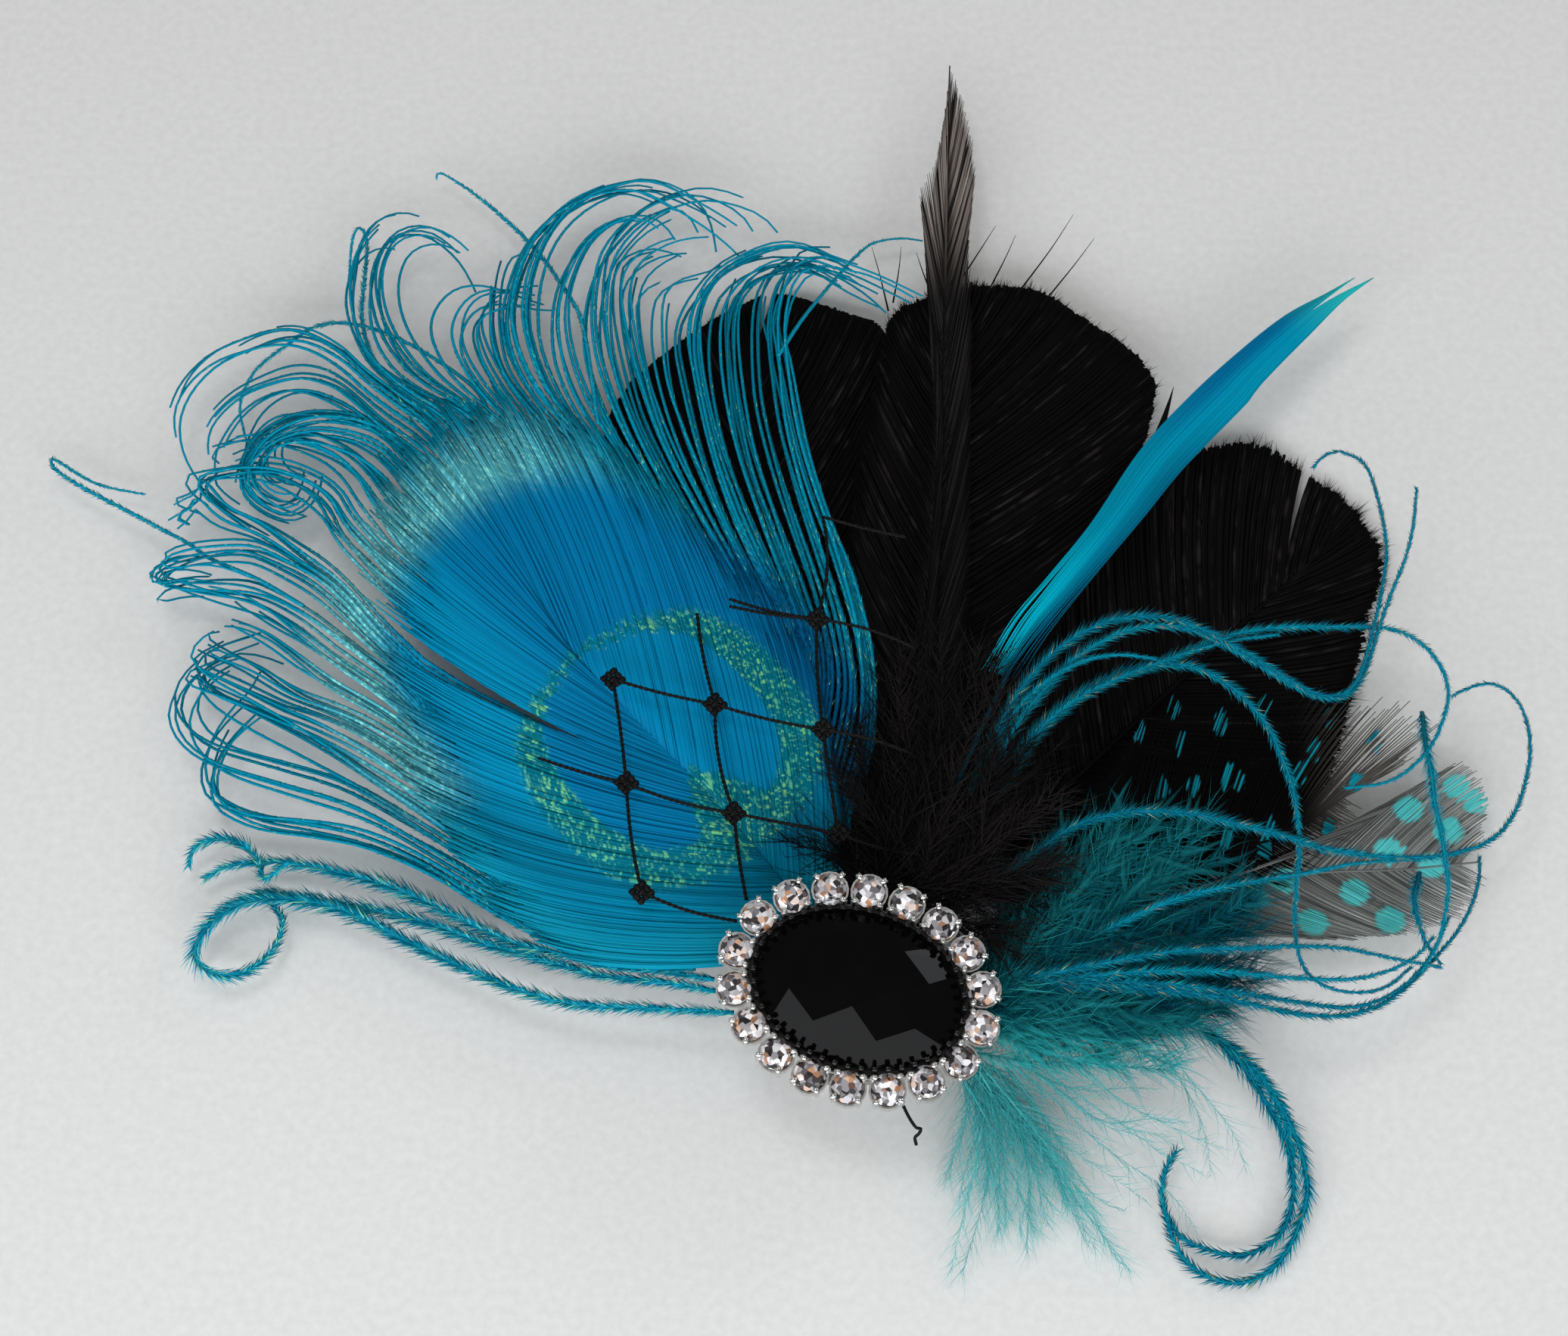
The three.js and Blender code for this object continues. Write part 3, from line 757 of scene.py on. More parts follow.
def hackle():
    draw = np.random.default_rng(21)
    bundle = Bundle()
    quill(bundle, HACKLE_SHAFT, base=0.6, tip=0.1)
    for edge in (on_level(HACKLE_LEFT), on_level(HACKLE_RIGHT)):
        paths = web(
            HACKLE_SHAFT, edge, draw, HACKLE_BARBS, HACKLE_ROOTS, bow=0.08, drop=0.3, ragged=0.5, lag=1.2
        )
        bundle.strands(paths, HACKLE_TAPER[None], HACKLE_DEPTH, strand=draw.random(HACKLE_BARBS))
    foot = through(HACKLE_SHAFT, HACKLE_POINTS)[:HACKLE_FOOT]
    for tone in HACKLE_DOWN_TONES:
        barbules(
            bundle, foot, draw, HACKLE_DOWN,
            spacing=0.4, lean=24, half_width=0.08, strand=tone, shade=0.0,
        )
    for route in [*STRAY_HAIRS, SLIVER]:
        base = SLIVER_BASE if route is SLIVER else STRAY_HAIR_BASE
        path = photo_path(route, STRAY_HAIR_HEIGHT, STRAY_HAIR_POINTS)
        bundle.one_strand(path, (base, STRAY_HAIR_TIP), HACKLE_DEPTH)
    bundle.piece("hackle_feather_barbs", hackle_grey, "hackle", "hackle_feather")


hackle()

# %% [markdown]
# ## Turquoise blade
# The slim turquoise feather is a biot: one stiff, glossy side of a wing feather. Its barbs run almost along
# its length and lie so close that it looks like a blade, split at its tip and frayed at its foot. It is a
# row of long ribbons between the two edges that the photo shows.

# %% Turquoise
turquoise = Finish("turquoise_blade")
blade_along = turquoise.fact("along")
blade_side = turquoise.fact("shade")
# Across the blade one edge is painted lighter than the other, a painted highlight and painted shade: the
# upper edge at the foot and in the middle, the lower one near the top. Along it the colour changes from
# foot to tip.
blade_foot = turquoise.blend(blade_side.smooth(0.3, 0.9), tint(0, 200, 222), tint(0, 100, 132))
blade_middle = turquoise.blend(blade_side.smooth(0.4, 0.95), tint(0, 146, 176), tint(0, 106, 136))
blade_top = turquoise.blend(blade_side.smooth(0.15, 0.7), tint(0, 120, 168), tint(0, 146, 178))
blade_colour = turquoise.blend(blade_along.smooth(0.05, 0.4), blade_foot, blade_middle)
blade_colour = turquoise.blend(blade_along.smooth(0.45, 0.7), blade_colour, blade_top)
blade_colour = turquoise.blend(blade_along.smooth(0.8, 0.98), blade_colour, tint(40, 180, 182))
turquoise.set(
    Base_Color=turquoise.shade(blade_colour, 0.86 + 0.28 * turquoise.fact("strand")),
    Roughness=0.4,
    Specular_IOR_Level=0.04,
)
print("finish", turquoise.material.name)

# %% Turquoise blade
BLADE_UPPER = [
    (1306, 888), (1340, 820), (1385, 763), (1442, 692), (1506, 597), (1570, 527), (1633, 469),
    (1697, 418), (1752, 388), (1790, 367),
]
BLADE_LOWER = [
    (1334, 896), (1372, 846), (1440, 766), (1508, 686), (1558, 624), (1604, 576), (1649, 530),
    (1661, 513), (1689, 483), (1732, 440), (1774, 398), (1815, 367),
]
BLADE_POINTS = 50
BLADE_HEIGHTS = (10.6, 9.2, 7.6)
BLADE_ARCH = 0.7
BLADE_FOOT = [(4.4, 11, 8.6), (9, 22, 9.0)]  # where the shaft runs hidden
BLADE_SHAFT_POINTS = [6, 15, 30]
RIBBONS = 34
RIBBON_SHARE = 0.72  # half width of a ribbon, as a share of the room it has
RIBBON_NARROWEST = 0.06
RIBBON_DEPTH = 0.09
RIBBON_LAYERS = 0.03
RIBBON_FOOT = 0.25  # width at the foot, as a share of the full one
PRONG_START = 0.87  # share of the length where the tip splits
FRAY = 0.35
FRAY_FADE = 14  # how fast the fraying ends, away from the foot


def blade():
    draw = np.random.default_rng(31)
    bundle = Bundle()
    along = np.linspace(0, 1, BLADE_POINTS)
    height = along_path(along, BLADE_HEIGHTS)
    edges = []
    for edge in (BLADE_UPPER, BLADE_LOWER):
        edges.append(from_photo(np.column_stack([through(edge, BLADE_POINTS), height])))
    upper, lower = edges
    middle = (upper + lower) / 2
    across = np.linspace(0, 1, RIBBONS)
    paths = upper[None] * (1 - across)[:, None, None] + lower[None] * across[:, None, None]
    arch = BLADE_ARCH * np.sin(np.pi * across)
    paths[..., 2] += arch[:, None] + draw.normal(0, RIBBON_LAYERS, (RIBBONS, 1))
    prong = np.where(across < 0.5, 0.0, 1.0)[:, None, None]
    prongs = upper[None] * (1 - prong) + lower[None] * prong
    parted = np.clip((along - PRONG_START) / (1 - PRONG_START), 0, 1)[None, :, None] ** 2
    paths += (prongs - paths) * parted
    frayed = np.exp(-along * FRAY_FADE)[None, :, None] * draw.normal(0, FRAY, (RIBBONS, 1, 1))
    paths += (paths - middle[None]) * frayed * 2
    wide = np.linalg.norm(upper - lower, axis=1)
    width = np.maximum(wide / RIBBONS * RIBBON_SHARE, RIBBON_NARROWEST)[None]
    width = width * np.clip(along * FRAY_FADE + RIBBON_FOOT, 0, 1)[None]
    bundle.strands(paths, width, RIBBON_DEPTH, strand=draw.random(RIBBONS), shade=across)
    shaft = through([*BLADE_FOOT, *middle[BLADE_SHAFT_POINTS]], BLADE_POINTS)
    bundle.one_strand(shaft, half_widths=(0.45, 0.1), half_depth=0.3, strand=0.2, shade=0.9)
    bundle.piece("turquoise_blade_barbs", turquoise, "turquoise_feather", "turquoise_blade")


blade()

# %% [markdown]
# ## Guinea feathers
# Two guinea feathers lie to the right. Their barbs stand apart, so the table shows through, and dyed spots
# sit where the barbs close up. A spot is a fact worked out for each point of a barb: it widens the barb
# there, and the shader colours it. Shafts, outlines and spots are read off the photo in pixels.

# %% Spotted greys
guinea = Finish("spotted_guinea")
guinea_spot = guinea.fact("shade").smooth(0.25, 0.6)
guinea_ground = guinea.blend(guinea.fact("strand"), tint(58, 59, 57), tint(138, 142, 138))
guinea.set(
    Base_Color=guinea.blend(guinea_spot, guinea_ground, tint(84, 192, 191)),
    Roughness=0.5,
    Specular_IOR_Level=0.06,
)
dark_guinea = Finish("dark_guinea")
dark_strand = dark_guinea.fact("strand")
dark_dash = dark_guinea.fact("shade").smooth(0.3, 0.55) * dark_strand.smooth(0.3, 0.45)
dark_blue = dark_guinea.blend(dark_strand, tint(0, 66, 82), tint(10, 130, 146))
dark_ground = dark_guinea.blend(dark_guinea.axis("X").smooth(54, 64), tint(3, 3, 3), tint(74, 71, 67))
dark_guinea.set(
    Base_Color=dark_guinea.blend(dark_dash, dark_ground, dark_blue),
    Roughness=0.5,
    Specular_IOR_Level=0.06,
)
print("finishes", guinea.material.name, dark_guinea.material.name)

# %% Guinea feathers
GUINEA_ROOTS = (0.04, 0.96)
GUINEA_WIDTH = 0.13
GUINEA_TAPER = (1.1, 0.35)
GUINEA_DEPTH = 0.05
SPOT_RAGGED = 0.1
SPOT_REACH = 1.5
SPOT_SWELL = 1.2  # how much wider a barb is in a spot


def spotted(points, spots, size, ragged):
    """1 in the middle of a spot and 0 well outside it, as seen. ragged varies by barb."""
    flat = points[..., :2].copy()
    flat[..., 1] -= (SEEN_LEVEL - points[..., 2]) * SIGHT_SLOPE
    far = [np.linalg.norm((flat - spot) / size, axis=-1) for spot in spots]
    return np.clip(SPOT_REACH - np.min(far, axis=0) + ragged, 0, 1)


def guinea_feather(name, finish, shaft, edges, spots, size, barbs, steps, ragged, seed):
    draw = np.random.default_rng(seed)
    bundle = Bundle()
    stem = from_photo(shaft)
    quill(bundle, stem, base=0.5, tip=0.12)
    for edge in edges:
        outline = on_level(edge)
        paths = web(
            stem, outline, draw, barbs, GUINEA_ROOTS, bow=0.14, drop=0.4, ragged=ragged, steps=steps
        )
        spot = spotted(paths, on_level(spots), size, draw.normal(0, SPOT_RAGGED, (barbs, 1)))
        width = GUINEA_WIDTH * np.linspace(*GUINEA_TAPER, steps)[None] * (1 + SPOT_SWELL * spot)
        bundle.strands(paths, width, GUINEA_DEPTH, strand=draw.random(barbs), shade=spot)
    bundle.piece(name + "_barbs", finish, "guinea_feather", name)


guinea_feather(
    "guinea_feather_lower",
    guinea,
    shaft=[
        (1330, 1262, 9.4), (1466, 1212, 8.2), (1566, 1180, 6.8), (1667, 1159, 5.6), (1758, 1152, 4.6),
        (1849, 1149, 3.8), (1954, 1139, 3.2),
    ],
    edges=[
        [
            (1640, 1152), (1738, 1122), (1778, 1104), (1818, 1081), (1859, 1056), (1904, 1026),
            (1939, 1011), (1965, 1036), (1973, 1071), (1969, 1112),
        ],
        [
            (1640, 1222), (1707, 1237), (1758, 1241), (1808, 1239), (1859, 1236), (1904, 1225),
            (1944, 1207), (1962, 1180), (1966, 1158),
        ],
    ],
    spots=[
        (1796, 1182), (1844, 1218), (1738, 1220), (1869, 1071), (1923, 1099), (1900, 1146),
        (1842, 1126), (1934, 1041), (1962, 1061), (1657, 1187), (1612, 1228), (1700, 1165),
    ],
    size=(1.75, 1.6),
    barbs=180,
    steps=22,
    ragged=0.5,
    seed=41,
)
guinea_feather(
    "guinea_feather_upper",
    dark_guinea,
    shaft=[
        (1290, 1225, 9.8), (1380, 1197, 9.4), (1506, 1157, 8.6), (1632, 1122, 7.8), (1707, 1099, 6.8),
        (1788, 1041, 5.6),
    ],
    edges=[
        [
            (1400, 1120), (1476, 1011), (1526, 935), (1587, 910), (1652, 910), (1718, 915),
            (1768, 925), (1823, 938), (1874, 943), (1884, 971), (1859, 1011),
        ],
        [
            (1420, 1240), (1516, 1222), (1581, 1197), (1657, 1172), (1707, 1154), (1743, 1139),
            (1763, 1117), (1783, 1091), (1798, 1066),
        ],
    ],
    spots=[
        (1503, 963), (1551, 935), (1559, 981), (1613, 955), (1672, 935), (1576, 1036), (1622, 1026),
        (1637, 1031), (1718, 1023), (1758, 945), (1622, 1109), (1677, 1096), (1738, 991), (1672, 1122),
        (1536, 1041), (1796, 1036), (1818, 981), (1760, 1099),
    ],
    size=(0.8, 1.5),
    barbs=150,
    steps=14,
    ragged=1.3,
    seed=42,
)

# %% [markdown]
# ## Peacock feather
# The dyed peacock feather lies face up to the left. Near its shaft the barbs lie edge to edge and make the
# smooth eye. Further out they loosen, gather in locks and end in curls. The route of each lock was read off
# the photo in pixels, and its first point lies on the border of the smooth part. Barbs start evenly along
# the shaft, cross that border evenly, and then close in on the route of their lock, as combed hair does.

# %% Locks on the left of the shaft
LEFT_LOCKS = [
    {"barbs": 6, "low": 3.0, "route": [
        (775, 1272), (655, 1206), (572, 1155), (489, 1119), (417, 1103), (355, 1093), (314, 1077),
        (288, 1054), (288, 1015), (311, 969), (350, 927), (370, 881),
    ]},
    {"barbs": 6, "low": 3.2, "route": [
        (702, 1204), (613, 1139), (536, 1093), (458, 1051), (370, 1026), (283, 1000), (246, 974),
        (231, 943), (239, 912), (267, 884), (319, 863), (370, 881),
    ]},
    {"barbs": 6, "low": 3.4, "route": [
        (655, 1139), (572, 1082), (489, 1031), (417, 984), (345, 948), (283, 922), (257, 896),
        (277, 876), (329, 855),
    ]},
    {"barbs": 6, "low": 3.0, "route": [
        (625, 1095), (560, 1040), (480, 985), (420, 955), (371, 937), (310, 909), (264, 889),
        (252, 878), (267, 870), (293, 857), (336, 842),
    ]},
    {"barbs": 6, "low": 3.6, "route": [
        (605, 1055), (540, 990), (460, 940), (388, 909), (332, 872), (267, 839), (284, 833),
        (319, 826),
    ]},
    {"barbs": 6, "low": 4.0, "route": [
        (590, 1015), (530, 950), (451, 900), (397, 857), (353, 824), (310, 807), (275, 802),
    ]},
    {"barbs": 6, "low": 4.4, "route": [
        (580, 975), (520, 915), (440, 862), (386, 820), (330, 790), (270, 780), (219, 768), (200, 758),
        (215, 746), (250, 742), (300, 752),
    ]},
    {"barbs": 7, "low": 4.8, "route": [
        (572, 935), (530, 880), (483, 829), (451, 792), (418, 761), (375, 738), (332, 722), (288, 725),
        (245, 733), (213, 748), (200, 759), (219, 765), (256, 758), (301, 759), (353, 779),
    ]},
    {"barbs": 6, "low": 4.6, "span": (-0.5, 0.28), "route": [
        (560, 885), (505, 835), (455, 780), (397, 738), (345, 699), (301, 677), (280, 655), (262, 640),
        (258, 655), (240, 665), (222, 672), (226, 680), (250, 692), (275, 702),
    ]},
    {"barbs": 8, "low": 4.4, "span": (-0.3, 0.5), "route": [
        (550, 815), (500, 755), (451, 705), (429, 665), (397, 641), (353, 626), (310, 626), (267, 637),
        (257, 646), (267, 661), (288, 680), (332, 706), (364, 725),
    ]},
    {"barbs": 6, "low": 4.6, "route": [
        (552, 745), (515, 700), (462, 628), (418, 600), (364, 585), (314, 585), (278, 596), (273, 611),
        (295, 624),
    ]},
    {"barbs": 6, "low": 4.2, "route": [
        (552, 700), (530, 665), (483, 615), (447, 591), (408, 576), (375, 576), (353, 591), (347, 611),
        (353, 628), (375, 640), (400, 640),
    ]},
    {"barbs": 10, "low": 4.0, "route": [
        (560, 660), (545, 605), (515, 568), (483, 550), (440, 546), (397, 552), (364, 567), (336, 589),
        (319, 615), (314, 641), (327, 663), (353, 680), (386, 689), (414, 676), (429, 654), (436, 628),
        (429, 604),
    ]},
    {"barbs": 4, "low": 4.8, "route": [
        (570, 635), (530, 595), (483, 554), (451, 533), (418, 518), (386, 515), (353, 528), (327, 550),
        (310, 576), (299, 600), (297, 624),
    ]},
    {"barbs": 4, "low": 5.2, "route": [
        (582, 618), (540, 585), (505, 562), (468, 530), (440, 511), (397, 502), (353, 511), (314, 526),
        (284, 550), (269, 572), (267, 593), (271, 619),
    ]},
    {"barbs": 4, "low": 5.4, "route": [
        (606, 598), (560, 555), (520, 525), (481, 495), (453, 470), (408, 446), (369, 442), (327, 455),
        (284, 476), (252, 507), (234, 541), (231, 572), (239, 604), (256, 632),
    ]},
]
print("locks on the left", len(LEFT_LOCKS))

# %% Locks on the right of the shaft
RIGHT_LOCKS = [
    {"barbs": 6, "low": 6.4, "route": [
        (1120, 1090), (1150, 990), (1152, 880), (1123, 763), (1091, 686), (1059, 590), (1034, 476),
        (1024, 430), (1033, 388), (1049, 355), (1083, 346), (1120, 366),
    ]},
    {"barbs": 4, "low": 6.2, "route": [
        (1105, 1030), (1128, 920), (1115, 820), (1085, 725), (1060, 650), (1035, 560), (1024, 473),
        (1021, 422), (1027, 388), (1040, 357), (1065, 341), (1100, 350), (1132, 361), (1168, 378),
        (1205, 398),
    ]},
    {"barbs": 3, "low": 6.0, "route": [
        (1092, 970), (1100, 880), (1080, 790), (1050, 700), (1025, 620), (1005, 530), (1002, 459),
        (1004, 416), (1012, 380), (1038, 346), (1072, 343), (1108, 362), (1142, 380), (1175, 394),
        (1210, 404),
    ]},
    {"barbs": 3, "low": 5.8, "route": [
        (1085, 935), (1080, 850), (1055, 770), (1025, 690), (1000, 620), (980, 530), (974, 459),
        (976, 410), (990, 370), (1022, 345), (1055, 341), (1089, 349),
    ]},
    {"barbs": 3, "low": 5.8, "route": [
        (1078, 900), (1065, 830), (1040, 765), (1012, 695), (976, 596), (960, 510), (952, 440),
        (956, 395), (985, 365), (1027, 350), (1061, 352), (1094, 369),
    ]},
    {"barbs": 3, "low": 5.6, "route": [
        (1070, 880), (1050, 815), (1020, 745), (990, 675), (958, 590), (940, 510), (935, 440),
        (945, 390), (976, 360), (1019, 341), (1061, 341), (1097, 357), (1131, 377), (1159, 402),
    ]},
    {"barbs": 4, "low": 5.6, "route": [
        (1058, 862), (1035, 805), (1005, 745), (972, 675), (945, 600), (925, 520), (914, 450),
        (926, 390), (954, 355), (988, 338), (1027, 324), (1061, 327), (1094, 341), (1125, 360),
        (1145, 377),
    ]},
    {"barbs": 3, "low": 5.4, "route": [
        (1042, 846), (1018, 800), (990, 745), (955, 675), (925, 590), (903, 500), (892, 435),
        (906, 395), (932, 363), (962, 338), (999, 324), (1038, 321), (1072, 332), (1111, 343),
    ]},
    {"barbs": 4, "low": 5.2, "route": [
        (1025, 830), (1000, 790), (968, 730), (930, 655), (895, 580), (870, 500), (859, 430),
        (861, 400), (880, 380), (905, 373), (930, 358),
    ]},
    {"barbs": 4, "low": 5.2, "route": [
        (1005, 815), (980, 775), (945, 712), (905, 640), (872, 565), (850, 490), (836, 425),
        (833, 372), (848, 342), (880, 322), (916, 312), (956, 312), (990, 326),
    ]},
    {"barbs": 4, "low": 5.0, "route": [
        (985, 797), (955, 745), (920, 685), (885, 620), (855, 555), (835, 480), (824, 410), (828, 355),
        (850, 338), (878, 332), (915, 343),
    ]},
    {"barbs": 4, "low": 5.0, "route": [
        (950, 762), (915, 710), (885, 655), (850, 590), (825, 530), (806, 465), (800, 405), (812, 335),
        (850, 293), (892, 273), (937, 265), (976, 273), (1013, 290), (1033, 313),
    ]},
    {"barbs": 4, "low": 5.0, "route": [
        (915, 725), (885, 680), (855, 635), (820, 575), (795, 515), (780, 455), (783, 395), (800, 345),
        (842, 295), (873, 276), (898, 270), (918, 285), (929, 313), (933, 355),
    ]},
    {"barbs": 5, "low": 5.2, "route": [
        (880, 690), (850, 650), (815, 605), (775, 550), (750, 500), (735, 440), (738, 390), (760, 330),
        (800, 292), (842, 288), (864, 315),
    ]},
    {"barbs": 6, "low": 5.4, "route": [
        (845, 658), (815, 620), (780, 580), (735, 535), (708, 490), (692, 440), (688, 400), (700, 345),
        (731, 290), (774, 256), (808, 245), (845, 237), (884, 245), (912, 262), (937, 276), (976, 301),
        (1004, 324),
    ]},
    {"barbs": 5, "low": 5.4, "route": [
        (805, 625), (775, 595), (735, 555), (700, 510), (675, 460), (668, 413), (680, 360), (700, 317),
        (731, 283), (774, 255), (808, 245), (845, 237), (884, 245), (912, 262),
    ]},
    {"barbs": 4, "low": 5.2, "route": [
        (765, 605), (735, 575), (700, 540), (668, 500), (650, 455), (645, 415), (645, 373), (652, 345),
        (670, 337), (688, 341),
    ]},
    {"barbs": 4, "low": 5.0, "route": [
        (730, 592), (700, 560), (665, 520), (638, 480), (624, 444), (629, 419), (647, 406), (672, 398),
        (700, 395),
    ]},
    {"barbs": 4, "low": 5.2, "route": [
        (700, 586), (665, 545), (632, 500), (611, 459), (608, 431), (621, 403), (642, 388), (670, 385),
        (711, 390), (736, 390),
    ]},
    {"barbs": 5, "low": 5.8, "route": [
        (675, 585), (645, 553), (596, 523), (552, 493), (519, 452), (499, 408), (494, 362), (507, 324),
        (532, 306), (565, 306), (593, 324), (616, 350), (632, 383),
    ]},
    {"barbs": 3, "low": 5.6, "route": [
        (650, 588), (605, 545), (558, 521), (514, 494), (489, 460), (478, 419), (481, 373), (487, 335),
        (505, 305), (535, 292), (565, 299), (590, 318),
    ]},
    {"barbs": 3, "low": 5.4, "route": [
        (630, 592), (583, 548), (532, 515), (486, 470), (468, 429), (461, 383), (471, 342), (491, 314),
        (514, 296), (545, 288), (565, 299),
    ]},
    {"barbs": 3, "low": 5.4, "route": [
        (603, 599), (565, 552), (525, 520), (486, 490), (453, 462), (408, 440), (369, 436), (327, 448),
        (290, 470),
    ]},
]
print("locks on the right", len(RIGHT_LOCKS))

# %% Strays that lie apart
STRAYS = [
    {"hair": 2.3, "route": [
        (970, 1338), (872, 1333), (768, 1328), (691, 1310), (613, 1279), (536, 1243), (469, 1209),
        (407, 1191), (345, 1188), (303, 1201), (272, 1227), (257, 1258), (272, 1281), (303, 1289),
        (339, 1276), (365, 1248), (373, 1217), (360, 1196),
    ]},
    {"hair": 2.2, "route": [
        (949, 1310), (872, 1297), (794, 1289), (717, 1268), (644, 1248), (572, 1222), (510, 1206),
        (458, 1196), (396, 1186), (350, 1181), (303, 1196), (272, 1227),
    ]},
    {"hair": 2.2, "route": [
        (944, 1294), (846, 1279), (758, 1263), (686, 1248), (624, 1222), (562, 1191), (510, 1170),
        (458, 1155), (407, 1144), (355, 1139), (303, 1144), (272, 1160),
    ]},
    {"hair": 1.7, "route": [
        (381, 1139), (350, 1160), (339, 1134), (319, 1116), (288, 1108), (257, 1121), (249, 1144),
    ]},
    {"hair": 0.7, "route": [
        (400, 800), (340, 765), (278, 738), (249, 718), (213, 699), (180, 681), (120, 650), (75, 622),
        (68, 606), (85, 615), (130, 640), (190, 653),
    ]},
    {"hair": 0.7, "route": [
        (647, 545), (624, 510), (563, 467), (507, 439), (456, 427), (414, 433), (375, 459), (340, 487),
        (323, 515), (317, 541), (321, 563), (325, 580),
    ]},
    {"hair": 0.7, "route": [
        (790, 560), (770, 430), (741, 375), (711, 334), (672, 294), (629, 258), (598, 237), (580, 228),
        (577, 236),
    ]},
    {"hair": 0.7, "route": [
        (640, 580), (609, 538), (558, 521), (514, 498), (489, 464), (478, 419), (481, 373), (485, 324),
        (476, 301), (466, 317), (461, 368),
    ]},
    {"hair": 0.5, "route": [
        (1028, 470), (1060, 422), (1089, 386), (1118, 352), (1135, 335), (1155, 321), (1189, 315),
        (1218, 318),
    ]},
]
print("strays", len(STRAYS))

# %% [markdown]
# The eye's colours are zones around its middle, measured along the shaft and across it: a heart with a
# notch towards the root, a golden ring round it, and a deep blue patch beyond. A square-ish oval is the sum
# of two powers. Each barb shifts the borders a little, as on a real feather.

# %% Colours of the eye
EYE = (-24.0, 36.0)
EYE_AXIS = (-0.655, 0.755)
EYE_LEVEL = 9.0
OVAL_POWER = 2.5  # 2 would be a plain oval


def eye_colours(finish):
    x, y, z = (finish.axis(name) for name in "XYZ")
    strand = finish.fact("strand")
    glint = finish.fact("shade")
    shift = (strand - 0.5) * 1.4
    flat_y = y - (EYE_LEVEL - z) * SIGHT_SLOPE
    up = (x - EYE[0]) * EYE_AXIS[0] + (flat_y - EYE[1]) * EYE_AXIS[1] + shift
    across = (x - EYE[0]) * -EYE_AXIS[1] + (flat_y - EYE[1]) * EYE_AXIS[0]

    def oval(centre, high, wide):
        """1 on the border of an oval, less inside and more outside."""
        tall = ((up - centre) / high).maths("ABSOLUTE") ** OVAL_POWER
        return tall + (across / wide).maths("ABSOLUTE") ** OVAL_POWER

    notch = (across.maths("ABSOLUTE") + (up + 5.0) * 0.6).smooth(-0.4, 0.8)
    heart = oval(centre=0.0, high=14.5, wide=12.8).smooth(1.08, 0.92) * notch
    ring = oval(centre=-1.7, high=17.3, wide=17.5).smooth(1.12, 0.9) * (1 - heart)
    patch = oval(centre=16.0, high=24.0, wide=22.0).smooth(1.3, 0.6)
    near = oval(centre=2.0, high=27.0, wide=26.0).smooth(1.2, 0.7)
    fringe = oval(centre=16.0, high=32.0, wide=30.0).smooth(1.3, 0.8) * (1 - patch)
    fringe = fringe * up.smooth(6.0, 18.0) * across.smooth(-22.0, -9.0)

    fleck_place = finish.vector(finish.fact("millimetre") * 1.7, strand * STRAND_SPREAD, 0.0)
    gold = finish.noise(fleck_place, 1.0, detail=1.0).smooth(0.5, 0.68)
    gilt = finish.blend(strand, tint(24, 160, 152), tint(118, 198, 132))
    gilded = finish.blend(gold, tint(0, 108, 128), gilt)
    deep = finish.blend(across.smooth(-7.0, -18.0), tint(0, 110, 142), tint(0, 88, 132))
    blue = finish.blend(across.smooth(0.0, 12.0), tint(0, 112, 160), tint(0, 132, 172))
    middle = finish.blend(across.smooth(-1.0, 1.5), tint(0, 124, 168), tint(0, 112, 158))

    loose = finish.blend(glint.smooth(0.45, 0.85), tint(0, 128, 156), tint(66, 176, 184))
    loose = finish.blend(near, loose, deep)
    loose = finish.blend(glint.smooth(0.9, 0.95), loose, tint(116, 196, 164))
    colour = finish.blend(fringe * (0.32 + 0.6 * gold), loose, tint(130, 216, 212))
    colour = finish.blend(patch, colour, blue)
    colour = finish.blend(ring, colour, gilded)
    colour = finish.blend(heart, colour, middle)
    colour = finish.blend(glint.smooth(-0.4, -0.6), colour, tint(0, 70, 104))
    smooth_part = (patch + heart + ring).maths("MINIMUM", 1.0)
    return finish.shade(colour, 1 + (strand - 0.5) * (0.5 - 0.36 * smooth_part))


peacock = Finish("dyed_peacock")
peacock.set(Base_Color=eye_colours(peacock), Roughness=0.42, Specular_IOR_Level=0.03)
print("finish", peacock.material.name, "nodes", len(peacock.tree.nodes))

# %% Barbs that gather in locks
PEACOCK_SHAFT = [
    (1.5, 1.5, 11.2), (-12.8, 21.6, 10.0), (-21.2, 31.6, 9.4), (-31.2, 42.8, 8.8), (-37, 49, 8.4),
]
SHAFT_POINTS = 300
BORDER_HEIGHT = 8.6
ROUTE_POINTS = 26
BARB_POINTS = 46
HIDDEN_SHARES = np.array([0.5, 0.78])  # where a loose barb runs under the fine ones
HIDDEN_DEPTH = [0, 0, 0.6]
LOCK_SPAN = (-0.5, 0.5)  # the barbs of a lock reach halfway to its neighbours
GATHERED = 0.6  # how far barbs close in on the route of their lock
GATHER_START = 0.25
GATHER_SPAN = 0.6
LOW_SCATTER = 0.7
BARB_SCATTER = [0.5, 0.5, 0.3]
CURL_SCATTER = [1.2, 1.2, 0.6]
LOOSE_DROOP = 1.2
LOOSE_LOWEST = 0.9
ROUTE_LOWEST = 1.0
SHORTENED = 6  # a loose barb ends up to this many points early
WEB_BARBS = 330  # fine barbs of the smooth part on each side of the shaft
WEB_POINTS = 10
WEB_START = 0.12  # share of the shaft that the brooch hides
WEB_BOW = 0.19
WEB_REACH = (0.88, 1.28)  # where a fine barb ends, with 1 on the border
SLIT_START = 0.32  # where the slit in the left web begins


def smooth_step(values):
    share = np.clip(values, 0, 1)
    return share * share * (3 - 2 * share)


